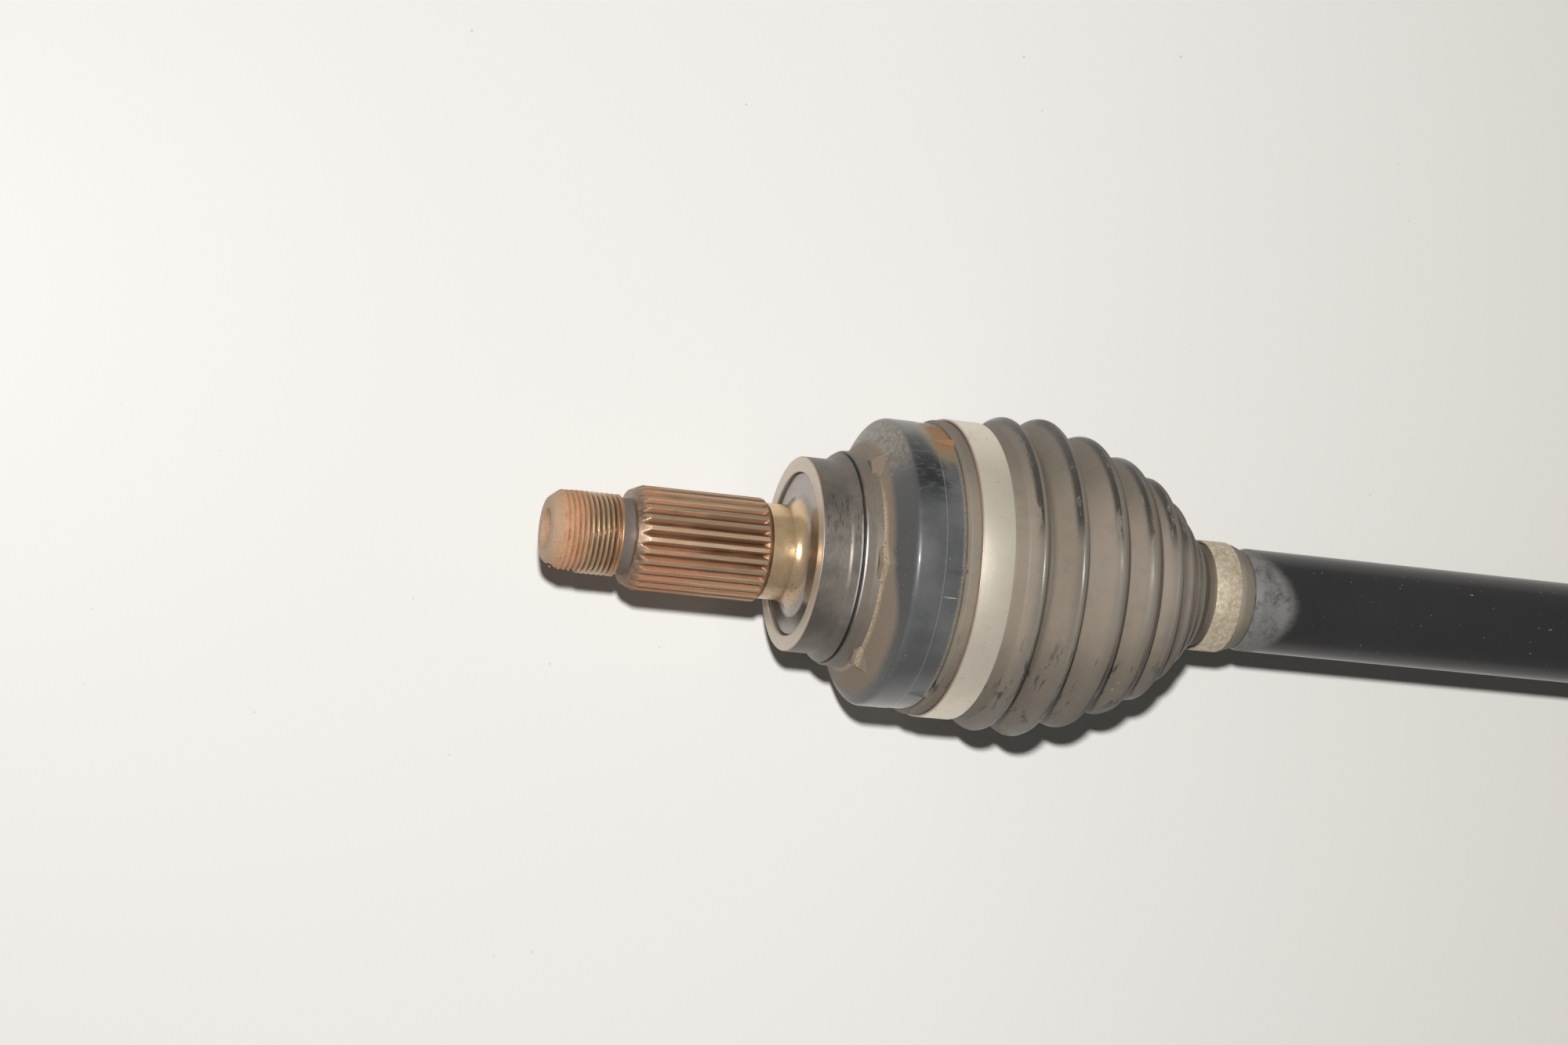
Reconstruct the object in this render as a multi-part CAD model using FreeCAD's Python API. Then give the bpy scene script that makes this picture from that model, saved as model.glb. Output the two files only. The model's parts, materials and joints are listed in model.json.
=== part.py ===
import FreeCAD, Part
import math
import os
from FreeCAD import Vector

# Drive shaft of a car: a fixed ball joint at the wheel end, a hollow shaft, and a plunging joint with
# three rollers at the gearbox end. Lengths are in millimetres.
# X is the shaft's axis and points from the wheel to the gearbox. Z is up. The origin is on the axis,
# half way between the two tips.

# Wheel stub, from its tip to the face that the wheel bearing sits on
thread_radius = 12.0
thread_tip_radius = 9.2
thread_tip_length = 3.6
thread_tip_rounding = 1.2
thread_lead_rounding = 3.0
thread_length = 20.5
relief_radius = 11.2
relief_length = 3.4
relief_rounding = 2.2
hub_spline_lead_radius = 13.8
hub_spline_lead_length = 3.6
hub_spline_tip_radius = 15.4
hub_spline_root_radius = 14.3
hub_spline_length = 36.1
hub_spline_tail_length = 1.4
hub_spline_teeth = 28
hub_spline_lead_rounding = 1.0
hub_spline_end_rounding = 0.6
hub_spline_root_share = 0.46
neck_radius = 14.2
neck_length = 10.0
neck_fillet = 6.0
neck_start_rounding = 0.5
staking_slot_width = 6.0
staking_slot_depth = 2.0
staking_slot_length = 9.0
centre_hole_radius = 6.0
centre_hole_depth = 7.0
centre_hole_half_angle = 30.0
turned_edge_rounding = 0.5

# Bearing seat, rib and bell of the outer housing
seat_inner_radius = 24.2
seat_outer_radius = 29.0
seat_recess_depth = 1.0
seat_length = 9.0
seat_end_rounding = 2.0
rib_radius = 32.0
rib_rise_length = 3.8
rib_length = 2.4
rib_rounding = 0.6
seam_groove_width = 0.6
seam_groove_depth = 0.6
rib_to_bell = 1.8
bell_root_rounding = 1.2
bell_radius = 43.1
bell_rounding = 10.0
bell_step_height = 0.15
bell_step_length = 6.2
boot_seat_depth = 1.3
boot_seat_length = 18.9
boot_step_rounding = 0.6
bead_groove_depth = 0.9
bead_groove_rounding = 0.4
bead_groove_length = 5.7
bead_groove_from_mouth = 7.0
joint_centre_from_seat = 40.0
mouth_from_centre = 18.0
mouth_radius = 34.0
mouth_rounding = 1.0
mouth_flare_length = 5.0
cavity_floor_from_centre = 24.0

# Ball joint
ball_count = 6
ball_radius = 7.95
ball_pitch_radius = 29.0
ball_side_clearance = 0.05
track_clearance = 1.05
race_sphere_radius = 25.9
race_half_width = 12.0
cage_wall = 5.8
cage_half_width = 11.5
cage_window_length = 20.0
cage_window_rounding = 5.0
sphere_clearance = 0.3
outer_track_start_angle = -38.0
inner_track_angle = 50.0

# Hollow shaft
joint_spacing = 444.0
tube_radius = 15.9
tube_wall = 3.6
shoulder_radius = 15.2
shoulder_length = 2.3
shoulder_rounding = 1.5
boot_land_radius = 14.5
boot_land_length = 14.0
boot_land_taper = 10.0
boot_land_rounding = 4.0
stalk_radius = 13.2
stalk_rounding = 8.0
stalk_bore_radius = 5.0
bore_taper = 40.0
bore_rounding = 20.0
shaft_spline_radius = 12.5
shaft_spline_depth = 0.8
shaft_spline_teeth = 26
shaft_end_length = 17.0
shaft_end_chamfer = 1.2
spline_clearance = 0.05
# half of a tooth's width at its tip and at its root, as shares of the pitch
tooth_tip_share = 0.17
tooth_root_share = 0.34
seat_clearance = 0.05

# Retaining rings
ring_thickness = 1.8
ring_height = 2.9
ring_gap_width = 4.0
ring_groove_depth = 1.4

# Boots
boot_wall = 1.0
boot_rim_wall = 2.2
boot_neck_radius = 16.0
boot_neck_wall = 1.25
boot_rim_bead = 0.4
boot_neck_bead = 0.5
boot_lip = 0.8
boot_neck_offset = 1.5
boot_neck_end_gap = 0.5
outer_fold_from_mouth = 0.7
outer_boot_rim_length = 18.2
outer_boot_bellows_length = 72.2
inner_fold_from_mouth = 3.0
inner_boot_rim_length = 20.0
inner_boot_bellows_length = 57.0

# Each fold of a boot has a long flank towards the rim and a steep one towards the neck. Its six shares:
# the crest's place along the bellows, its height from neck to rim, its rounding, the place of the
# valley after it between this crest and the next, how far that valley lies below the line between
# them, and the valley's rounding; the roundings and depths are shares of the bellows' length
outer_fold_shares = [
    (0.062, 1.107, 0.0166, 0.36, 0.0720, 0.0166),
    (0.230, 1.132, 0.0194, 0.38, 0.0748, 0.0166),
    (0.425, 0.998, 0.0346, 0.40, 0.0637, 0.0166),
    (0.598, 0.822, 0.0443, 0.46, 0.0443, 0.0125),
    (0.738, 0.643, 0.0208, 0.46, 0.0249, 0.0111),
    (0.832, 0.432, 0.0166, 0.50, 0.0125, 0.0083),
    (0.889, 0.267, 0.0166, 0.50, 0.0125, 0.0083),
    (0.945, 0.105, 0.0166, 0.00, 0.0000, 0.0000),
]
inner_fold_shares = [
    (0.109, 1.161, 0.0228, 0.36, 0.0807, 0.0211),
    (0.307, 1.083, 0.0351, 0.38, 0.0807, 0.0211),
    (0.498, 0.859, 0.0421, 0.42, 0.0667, 0.0193),
    (0.684, 0.580, 0.0421, 0.45, 0.0491, 0.0175),
    (0.853, 0.286, 0.0316, 0.00, 0.0000, 0.0000),
]
rim_rounding = 1.5
neck_rounding = 1.2

# Clamps
clamp_thickness = 0.8
large_clamp_width = 10.4
small_clamp_width = 8.5
ear_height = 2.4
ear_angle = 225.0
large_ear_width = 11.0
small_ear_width = 8.0

# Plunging joint
roller_count = 3
roller_pitch_radius = 22.0
roller_radius = 16.5
roller_width = 12.0
roller_track_clearance = 0.65
roller_track_roof_radius = 33.2
needle_count = 22
needle_radius = 1.25
needle_clearance = 0.03
needle_end_gap = 0.3
trunnion_radius = 8.5
trunnion_tip_radius = 30.2
trunnion_chamfer = 0.6
trunnion_root_radius = 10.0
roller_clip_thickness = 1.0
roller_clip_height = 2.4
roller_clip_gap = 0.25
spider_hub_radius = 15.0
spider_hub_width = 22.0
spider_end_length = 16.0
spider_hub_rounding = 1.5
body_gap = 0.25

# Gearbox side housing
tulip_wall = 5.3
tulip_bore_radius = 23.5
tulip_valley_wall = 4.5
tulip_mouth_radius = 33.0
tulip_mouth_from_centre = 36.0
tulip_flare_length = 26.0
tulip_floor_from_centre = 52.0
tulip_floor_wall = 10.0
tulip_shoulder_rounding = 6.0
collar_radius = 39.0
collar_length = 20.0
collar_groove_depth = 0.8
collar_groove_length = 5.0
collar_rounding = 1.0
journal_radius = 19.0
journal_length = 21.0
journal_flange_height = 3.0
journal_flange_length = 2.0
journal_rounding = 1.5
journal_end_rounding = 0.8
gearbox_spline_radius = 14.5
gearbox_spline_depth = 1.1
gearbox_spline_length = 50.0
gearbox_spline_teeth = 27
gearbox_ring_from_tip = 9.0
gearbox_tip_chamfer = 2.0
gearbox_step_length = 1.5
gearbox_neck_length = 8.0
gearbox_neck_radius = 12.6

# Sizes that follow from the ones above
overhang = 1.0
stub_length = (thread_length + relief_length + hub_spline_lead_length + hub_spline_length
               + hub_spline_tail_length + neck_length)
gearbox_stub_length = journal_length + gearbox_neck_length + gearbox_spline_length
gearbox_tip_from_centre = tulip_floor_from_centre + tulip_floor_wall + gearbox_stub_length
total_length = stub_length + joint_centre_from_seat + joint_spacing + gearbox_tip_from_centre
stub_tip_x = -total_length / 2
seat_x = stub_tip_x + stub_length
outer_centre_x = seat_x + joint_centre_from_seat
inner_centre_x = outer_centre_x + joint_spacing
mouth_x = outer_centre_x + mouth_from_centre
boot_seat_radius = bell_radius - boot_seat_depth
cage_inner_radius = race_sphere_radius + sphere_clearance
cage_outer_radius = cage_inner_radius + cage_wall
cavity_radius = cage_outer_radius + sphere_clearance
track_radius = ball_radius + track_clearance
outer_track_end_angle = math.degrees(math.asin((mouth_from_centre + track_radius) / ball_pitch_radius))
outer_fold_x = mouth_x - outer_fold_from_mouth
outer_boot_land_x = outer_fold_x + outer_boot_bellows_length + boot_neck_offset
tulip_mouth_x = inner_centre_x - tulip_mouth_from_centre
inner_fold_x = tulip_mouth_x - inner_fold_from_mouth
inner_boot_land_x = inner_fold_x - inner_boot_bellows_length - boot_neck_offset
tulip_floor_x = inner_centre_x + tulip_floor_from_centre
tulip_end_x = tulip_floor_x + tulip_floor_wall
gearbox_tip_x = inner_centre_x + gearbox_tip_from_centre
gearbox_ring_x = gearbox_tip_x - gearbox_ring_from_tip
bead_groove_end_x = mouth_x - bead_groove_from_mouth
bead_groove_start_x = bead_groove_end_x - bead_groove_length
outer_clamp_x = (bead_groove_start_x + bead_groove_end_x - large_clamp_width) / 2
outer_clamp_radius = boot_seat_radius + boot_rim_wall + 2 * seat_clearance
outer_neck_clamp_x = outer_boot_land_x + seat_clearance
inner_clamp_x = tulip_mouth_x + (collar_length - large_clamp_width) / 2
inner_clamp_radius = collar_radius + boot_rim_wall + 2 * body_gap
inner_neck_clamp_x = inner_boot_land_x - seat_clearance - small_clamp_width
collar_groove_x = inner_clamp_x + (large_clamp_width - collar_groove_length) / 2
roller_track_radius = roller_radius + roller_track_clearance
needle_pitch_radius = trunnion_radius + needle_radius + needle_clearance
roller_bore_radius = needle_pitch_radius + needle_radius + needle_clearance
roller_inner_face = roller_pitch_radius - roller_width / 2
roller_outer_face = roller_pitch_radius + roller_width / 2

axis_x = Vector(1, 0, 0)


def unit(vector):
    return vector * (1 / vector.Length)


def at(x, radius):
    return Vector(x, radius, 0)


def from_angle(degrees):
    # a direction in the plane of X and radius
    return Vector(math.cos(math.radians(degrees)), math.sin(math.radians(degrees)), 0)


def radial(degrees):
    # a direction square to the shaft: 0 points along Y, 90 along Z
    return Vector(0, math.cos(math.radians(degrees)), math.sin(math.radians(degrees)))


def rounded_edges(points):
    # a closed outline; a corner with a third number is rounded by that radius, as far as its
    # shorter side lets it
    corners = [at(point[0], point[1]) for point in points]
    pieces = []
    for i, corner in enumerate(corners):
        wanted = points[i][2] if len(points[i]) > 2 else 0
        if wanted == 0:
            pieces.append((corner, None, corner))
            continue
        back = corners[i - 1] - corner
        ahead = corners[(i + 1) % len(corners)] - corner
        half = back.getAngle(ahead) / 2
        reach = min(wanted / math.tan(half), 0.49 * back.Length, 0.49 * ahead.Length)
        radius = reach * math.tan(half)
        bisector = unit(unit(back) + unit(ahead))
        middle = corner + bisector * (radius / math.sin(half) - radius)
        pieces.append((corner + unit(back) * reach, middle, corner + unit(ahead) * reach))
    edges = []
    for i, (start, middle, end) in enumerate(pieces):
        if middle is not None:
            edges.append(Part.Arc(start, middle, end).toShape())
        following = pieces[(i + 1) % len(pieces)][0]
        if (following - end).Length > 1e-6:
            edges.append(Part.makeLine(end, following))
    return edges


def spun(edges):
    face = Part.Face(Part.Wire(Part.__sortEdges__(edges)))
    return face.revolve(Vector(0, 0, 0), axis_x, 360)


def turned(points):
    return spun(rounded_edges(points))


def disc_solid(x_start, x_end, radius):
    return Part.makeCylinder(radius, x_end - x_start, Vector(x_start, 0, 0), axis_x)


def tube_solid(x_start, x_end, outer, inner):
    return disc_solid(x_start, x_end, outer).cut(disc_solid(x_start, x_end, inner))


def toothed_bar(x_start, x_end, root, tip, teeth, rise=0.0, root_share=tooth_root_share):
    # a solid bar with straight teeth along it; a rise carries the teeth straight out past their tips
    pitch = 360.0 / teeth
    top_share = tooth_tip_share
    profile = [(-root_share, root)]
    if rise:
        past = seat_clearance
        top_share -= (root_share - tooth_tip_share) * past / (tip - root)
        profile += [(-top_share, tip + past), (-top_share, tip + rise), (top_share, tip + rise),
                    (top_share, tip + past)]
    else:
        profile += [(-top_share, tip), (top_share, tip)]
    profile.append((root_share, root))
    corners = []
    for tooth in range(teeth):
        for share, radius in profile:
            corners.append(radial((tooth + share) * pitch) * radius + Vector(x_start, 0, 0))
    corners.append(corners[0])
    return Part.Face(Part.makePolygon(corners)).extrude(Vector(x_end - x_start, 0, 0))


def groove_cutter(x_start, x_end, root, tip, teeth, root_share=tooth_root_share):
    # what a spline cutter takes away from a round bar
    bar = toothed_bar(x_start - overhang, x_end + overhang, root, tip, teeth, 2 * overhang,
                      root_share)
    return disc_solid(x_start, x_end, tip + overhang).cut(bar)


def ball_track(angle, start, end):
    # a round groove that follows the ball round the joint's centre, from start to end degrees
    centre = Vector(outer_centre_x, 0, 0)
    out = radial(angle)
    across = axis_x.cross(out)
    tilt = math.radians(start)
    ball_place = centre + (axis_x * math.sin(tilt) + out * math.cos(tilt)) * ball_pitch_radius
    heading = axis_x * math.cos(tilt) - out * math.sin(tilt)
    section = Part.Face(Part.Wire(Part.makeCircle(track_radius, ball_place, heading)))
    return section.revolve(centre, across * -1, end - start)


def ball_angles():
    return [360.0 / ball_count * i for i in range(ball_count)]


def roller_angles():
    return [90 + 360.0 / roller_count * i for i in range(roller_count)]


def save(shape, node):
    if not shape.isValid():
        print("not valid:", node)
    shape.exportStep("parts/" + node + ".step")
    print(node, "solids", len(shape.Solids), "volume", round(shape.Volume, 1))


# Outer joint housing with its stub

def housing_blank():
    tip = stub_tip_x
    thread_end = tip + thread_length
    lead_start = thread_end + relief_length
    spline_start = lead_start + hub_spline_lead_length
    spline_end = spline_start + hub_spline_length
    neck_start = spline_end + hub_spline_tail_length
    recess_x = seat_x + seat_recess_depth
    rib_start = seat_x + seat_length + rib_rise_length
    rib_end = rib_start + rib_length
    bell_start = rib_end + rib_to_bell
    boot_start = mouth_x - boot_seat_length
    step_x = boot_start - bell_step_length
    seam_x = rib_start - 2 * seam_groove_width
    seam_radius = rib_radius - 2 * seam_groove_depth
    return turned([
        (tip, 0),
        (tip, thread_tip_radius, thread_tip_rounding),
        (tip + thread_tip_length, thread_radius, thread_lead_rounding),
        (thread_end, thread_radius),
        (thread_end + (thread_radius - relief_radius), relief_radius),
        (lead_start, relief_radius, relief_rounding),
        (lead_start, hub_spline_lead_radius, turned_edge_rounding),
        (spline_start, hub_spline_tip_radius, hub_spline_lead_rounding),
        (spline_end, hub_spline_tip_radius, hub_spline_end_rounding),
        (neck_start, neck_radius, neck_start_rounding),
        (recess_x, neck_radius, neck_fillet),
        (recess_x, seat_inner_radius, turned_edge_rounding),
        (seat_x, seat_inner_radius, turned_edge_rounding),
        (seat_x, seat_outer_radius, turned_edge_rounding),
        (seat_x + seat_length, seat_outer_radius, seat_end_rounding),
        (seam_x, seam_radius + seam_groove_depth, turned_edge_rounding),
        (seam_x, seam_radius),
        (seam_x + seam_groove_width, seam_radius),
        (seam_x + seam_groove_width, rib_radius - seam_groove_depth / 2),
        (rib_start, rib_radius, rib_rounding),
        (rib_end, rib_radius, rib_rounding),
        (bell_start, rib_radius + seam_groove_depth, bell_root_rounding),
        (bell_start, bell_radius, bell_rounding),
        (step_x, bell_radius),
        (step_x, bell_radius - bell_step_height),
        (boot_start, bell_radius - bell_step_height, boot_step_rounding),
        (boot_start, boot_seat_radius),
        (bead_groove_start_x, boot_seat_radius),
        (bead_groove_start_x, boot_seat_radius - bead_groove_depth, bead_groove_rounding),
        (bead_groove_end_x, boot_seat_radius - bead_groove_depth, bead_groove_rounding),
        (bead_groove_end_x, boot_seat_radius),
        (mouth_x, boot_seat_radius, mouth_rounding),
        (mouth_x, 0),
    ])


def housing_cavity():
    floor_x = outer_centre_x - cavity_floor_from_centre
    floor_radius = math.sqrt(cavity_radius ** 2 - cavity_floor_from_centre ** 2)
    # the sphere opens into a cone some way before the mouth
    flare_from_centre = mouth_from_centre - mouth_flare_length
    flare_radius = math.sqrt(cavity_radius ** 2 - flare_from_centre ** 2)
    start = at(floor_x, floor_radius)
    middle = at(outer_centre_x, cavity_radius)
    end = at(outer_centre_x + flare_from_centre, flare_radius)
    edges = [Part.Arc(start, middle, end).toShape()]
    points = [end, at(mouth_x, mouth_radius), at(mouth_x + overhang, mouth_radius),
              at(mouth_x + overhang, 0), at(floor_x, 0), start]
    for here, there in zip(points, points[1:]):
        edges.append(Part.makeLine(here, there))
    return spun(edges)


def outer_housing():
    shape = housing_blank().cut(housing_cavity())
    tracks = [ball_track(angle, outer_track_start_angle, outer_track_end_angle) for angle in ball_angles()]
    shape = shape.cut(tracks)
    spline_start = stub_tip_x + thread_length + relief_length - overhang
    spline_end = seat_x - neck_length
    # the hub spline's grooves are almost pointed, so they run out to a point on the lead cone
    shape = shape.cut(groove_cutter(spline_start, spline_end, hub_spline_root_radius,
                                    hub_spline_tip_radius, hub_spline_teeth, hub_spline_root_share))
    # slot in the thread's end, where the hub nut's collar is staked
    slot_floor = thread_radius - staking_slot_depth
    slot = Part.makeBox(staking_slot_length + overhang, staking_slot_depth + overhang,
                        staking_slot_width, Vector(stub_tip_x - overhang, -thread_radius - overhang,
                                                   -staking_slot_width / 2))
    end_round = Part.makeCylinder(staking_slot_width / 2, staking_slot_depth + overhang,
                                  Vector(stub_tip_x + staking_slot_length, -slot_floor, 0),
                                  Vector(0, -1, 0))
    shape = shape.cut([slot, end_round])
    hole_slope = math.tan(math.radians(centre_hole_half_angle))
    centre_hole = turned([
        (stub_tip_x - overhang, 0),
        (stub_tip_x - overhang, centre_hole_radius + overhang * hole_slope),
        (stub_tip_x + centre_hole_depth, centre_hole_radius - centre_hole_depth * hole_slope),
        (stub_tip_x + centre_hole_depth, 0),
    ])
    return shape.cut(centre_hole)


# Inner race, cage and balls of the ball joint

def outer_inner_race():
    edge_radius = math.sqrt(race_sphere_radius ** 2 - race_half_width ** 2)
    start_x = outer_centre_x - race_half_width
    end_x = outer_centre_x + race_half_width
    ring_seat_radius = shaft_spline_radius + ring_height - ring_groove_depth + seat_clearance * 4
    ring_seat_x = start_x + ring_thickness + seat_clearance
    start = at(start_x, edge_radius)
    end = at(end_x, edge_radius)
    edges = [Part.Arc(start, at(outer_centre_x, race_sphere_radius), end).toShape()]
    points = [end, at(end_x, 0), at(start_x, 0), start]
    for here, there in zip(points, points[1:]):
        edges.append(Part.makeLine(here, there))
    shape = spun(edges)
    shape = shape.cut(disc_solid(start_x - overhang, ring_seat_x, ring_seat_radius))
    tracks = [ball_track(a, -inner_track_angle, inner_track_angle) for a in ball_angles()]
    shape = shape.cut(tracks)
    bore = toothed_bar(start_x - overhang, end_x + overhang,
                       shaft_spline_radius - shaft_spline_depth + spline_clearance,
                       shaft_spline_radius + spline_clearance, shaft_spline_teeth)
    return shape.cut(bore)


def outer_cage():
    inner_edge = math.sqrt(cage_inner_radius ** 2 - cage_half_width ** 2)
    outer_edge = math.sqrt(cage_outer_radius ** 2 - cage_half_width ** 2)
    start_x = outer_centre_x - cage_half_width
    end_x = outer_centre_x + cage_half_width
    edges = [
        Part.Arc(at(start_x, outer_edge), at(outer_centre_x, cage_outer_radius),
                 at(end_x, outer_edge)).toShape(),
        Part.makeLine(at(end_x, outer_edge), at(end_x, inner_edge)),
        Part.Arc(at(end_x, inner_edge), at(outer_centre_x, cage_inner_radius),
                 at(start_x, inner_edge)).toShape(),
        Part.makeLine(at(start_x, inner_edge), at(start_x, outer_edge)),
    ]
    shape = spun(edges)
    window_height = 2 * (ball_radius + ball_side_clearance)
    window_reach = cage_outer_radius + overhang
    windows = []
    for angle in ball_angles():
        window = Part.makeBox(window_height, cage_window_length, window_reach,
                              Vector(-window_height / 2, -cage_window_length / 2, 0))
        upright = [edge for edge in window.Edges if abs(edge.tangentAt(edge.FirstParameter).z) > 0.9]
        window = window.makeFillet(cage_window_rounding, upright)
        window.rotate(Vector(0, 0, 0), axis_x, angle - 90)
        window.translate(Vector(outer_centre_x, 0, 0))
        windows.append(window)
    return shape.cut(windows)


def outer_ball(angle):
    return Part.makeSphere(ball_radius, Vector(outer_centre_x, 0, 0) + radial(angle) * ball_pitch_radius)


# Shaft and its retaining rings

def retaining_ring(x_start, inner_radius, height=ring_height, thickness=ring_thickness):
    ring = tube_solid(x_start, x_start + thickness, inner_radius + height, inner_radius)
    gap = Part.makeBox(thickness + 2 * overhang, ring_gap_width, inner_radius + height + overhang,
                       Vector(x_start - overhang, -ring_gap_width / 2, 0))
    return ring.cut(gap)


def ring_groove(x_start, bar_radius, depth, thickness=ring_thickness):
    return tube_solid(x_start - seat_clearance, x_start + thickness + seat_clearance,
                      bar_radius + overhang, bar_radius - depth)


race_ring_x = outer_centre_x - race_half_width
spider_start_x = inner_centre_x - spider_hub_width / 2
spider_end_x = inner_centre_x + spider_hub_width / 2
stop_ring_x = spider_start_x - seat_clearance - ring_thickness
spider_ring_x = spider_end_x + seat_clearance
ring_inner_radius = shaft_spline_radius - ring_groove_depth + seat_clearance


def shaft_tube():
    start_x = outer_centre_x - shaft_end_length
    end_x = inner_centre_x + spider_end_length
    race_stop_x = outer_centre_x + race_half_width + seat_clearance
    spider_spline_x = stop_ring_x - ring_thickness
    outer_land_end = outer_boot_land_x + boot_land_length
    inner_land_start = inner_boot_land_x - boot_land_length
    chamfer = shaft_end_chamfer
    blank = turned([
        (start_x, 0),
        (start_x, shaft_spline_radius - chamfer),
        (start_x + chamfer, shaft_spline_radius),
        (race_stop_x, shaft_spline_radius),
        (race_stop_x, stalk_radius, turned_edge_rounding),
        (outer_boot_land_x - boot_land_taper, stalk_radius, stalk_rounding),
        (outer_boot_land_x, boot_land_radius, boot_land_rounding),
        (outer_land_end, boot_land_radius),
        (outer_land_end, shoulder_radius, turned_edge_rounding),
        (outer_land_end + shoulder_length, tube_radius, shoulder_rounding),
        (inner_land_start - shoulder_length, tube_radius, shoulder_rounding),
        (inner_land_start, shoulder_radius, turned_edge_rounding),
        (inner_land_start, boot_land_radius),
        (inner_boot_land_x, boot_land_radius, boot_land_rounding),
        (inner_boot_land_x + boot_land_taper, stalk_radius, stalk_rounding),
        (spider_spline_x, stalk_radius, turned_edge_rounding),
        (spider_spline_x, shaft_spline_radius),
        (end_x - chamfer, shaft_spline_radius),
        (end_x, shaft_spline_radius - chamfer),
        (end_x, 0),
    ])
    tube_start = outer_land_end + shoulder_length
    tube_end = inner_land_start - shoulder_length
    bore = turned([
        (start_x - overhang, 0),
        (start_x - overhang, stalk_bore_radius),
        (tube_start, stalk_bore_radius, bore_rounding),
        (tube_start + bore_taper, tube_radius - tube_wall, bore_rounding),
        (tube_end - bore_taper, tube_radius - tube_wall, bore_rounding),
        (tube_end, stalk_bore_radius, bore_rounding),
        (end_x + overhang, stalk_bore_radius),
        (end_x + overhang, 0),
    ])
    root = shaft_spline_radius - shaft_spline_depth
    cutters = [
        groove_cutter(start_x - overhang, race_stop_x, root, shaft_spline_radius, shaft_spline_teeth),
        groove_cutter(spider_spline_x, end_x + overhang, root, shaft_spline_radius,
                      shaft_spline_teeth),
        ring_groove(race_ring_x, shaft_spline_radius, ring_groove_depth),
        ring_groove(stop_ring_x, shaft_spline_radius, ring_groove_depth),
        ring_groove(spider_ring_x, shaft_spline_radius, ring_groove_depth),
    ]
    return blank.cut(bore).cut(cutters)


# Boots

def fold_circles(rim_radius, length, folds):
    # the centre and rounding of every crest (side 1) and valley (side -1), from rim to neck
    drop = rim_radius - boot_neck_radius
    crests = []
    for along, height, rounding, valley_place, sink, valley_rounding in folds:
        centre = at(along * length, boot_neck_radius + height * drop - rounding * length)
        crests.append((centre, rounding * length, valley_place, sink * length, valley_rounding * length))
    circles = [(at(0, rim_radius + rim_rounding), rim_rounding, -1)]
    for i, (centre, rounding, valley_place, sink, valley_rounding) in enumerate(crests):
        circles.append((centre, rounding, 1))
        if i + 1 < len(crests):
            step = crests[i + 1][0] - centre
            valley = centre + step * valley_place - at(0, sink)
            circles.append((valley, valley_rounding, -1))
    circles.append((at(length, boot_neck_radius + neck_rounding), neck_rounding, -1))
    return circles


def flank_angles(circles):
    # the direction that each straight flank faces, in degrees, with the cylinders at both ends
    angles = [90.0]
    for (here, a, side), (there, b, _) in zip(circles, circles[1:]):
        step = there - here
        lean = math.degrees(math.acos(side * (a + b) / step.Length))
        angle = math.degrees(math.atan2(step.y, step.x)) + lean
        angles.append((angle + 90) % 360 - 90)
    return angles + [90.0]


def fold_skin(circles, angles, inset):
    # the wavy line of the outer skin, or of the inner one when inset is the wall
    points = []
    edges = []
    for i, (centre, rounding, side) in enumerate(circles):
        radius = (rounding - side * inset) * side
        turn = (angles[i], (angles[i] + angles[i + 1]) / 2, angles[i + 1])
        start, middle, end = [centre + from_angle(angle) * radius for angle in turn]
        if points:
            edges.append(Part.makeLine(points[-1], start))
        edges.append(Part.Arc(start, middle, end).toShape())
        points += [start, end]
    return edges, points[0], points[-1]


def joined(points):
    return [Part.makeLine(here, there) for here, there in zip(points, points[1:])]


def boot(rim_seat_radius, rim_length, length, folds, clamp_start, bead_start, bead_end, bead_height):
    # drawn with its first valley at 0, the rim on the low side and the neck on the high side
    rim_radius = rim_seat_radius + boot_rim_wall
    crown_radius = rim_radius + boot_rim_bead
    bead_radius = rim_seat_radius - bead_height
    circles = fold_circles(crown_radius, length, folds)
    angles = flank_angles(circles)
    outer_edges, outer_start, outer_end = fold_skin(circles, angles, 0)
    inner_edges, inner_start, inner_end = fold_skin(circles, angles, boot_wall)
    neck_inner = boot_neck_radius - boot_neck_wall
    neck_start = length + boot_neck_offset
    neck_clamp_end = neck_start + small_clamp_width + 2 * seat_clearance
    neck_end = neck_start + boot_land_length - boot_neck_end_gap
    clamp_end = clamp_start + large_clamp_width
    rim = [
        outer_start,
        at(clamp_end + boot_lip / 2, crown_radius),
        at(clamp_end, rim_radius),
        at(clamp_start, rim_radius),
        at(clamp_start - boot_lip / 2, rim_radius + boot_rim_bead / 2),
        at(boot_lip - rim_length, rim_radius + boot_rim_bead / 2),
        at(-rim_length, rim_radius - boot_lip),
        at(-rim_length, rim_seat_radius),
        at(bead_start, rim_seat_radius),
        at(bead_start + boot_lip / 2, bead_radius),
        at(bead_end - boot_lip / 2, bead_radius),
        at(bead_end, rim_seat_radius),
        at(-boot_lip, rim_seat_radius),
        inner_start,
    ]
    neck = [
        outer_end,
        at(neck_clamp_end, boot_neck_radius),
        at(neck_clamp_end + boot_lip / 2, boot_neck_radius + boot_neck_bead),
        at(neck_clamp_end + 2 * boot_lip, boot_neck_radius + boot_neck_bead),
        at(neck_end, boot_neck_radius - boot_lip),
        at(neck_end, neck_inner),
        at(neck_start, neck_inner),
        inner_end,
    ]
    return spun(outer_edges + inner_edges + joined(rim) + joined(neck))


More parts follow.
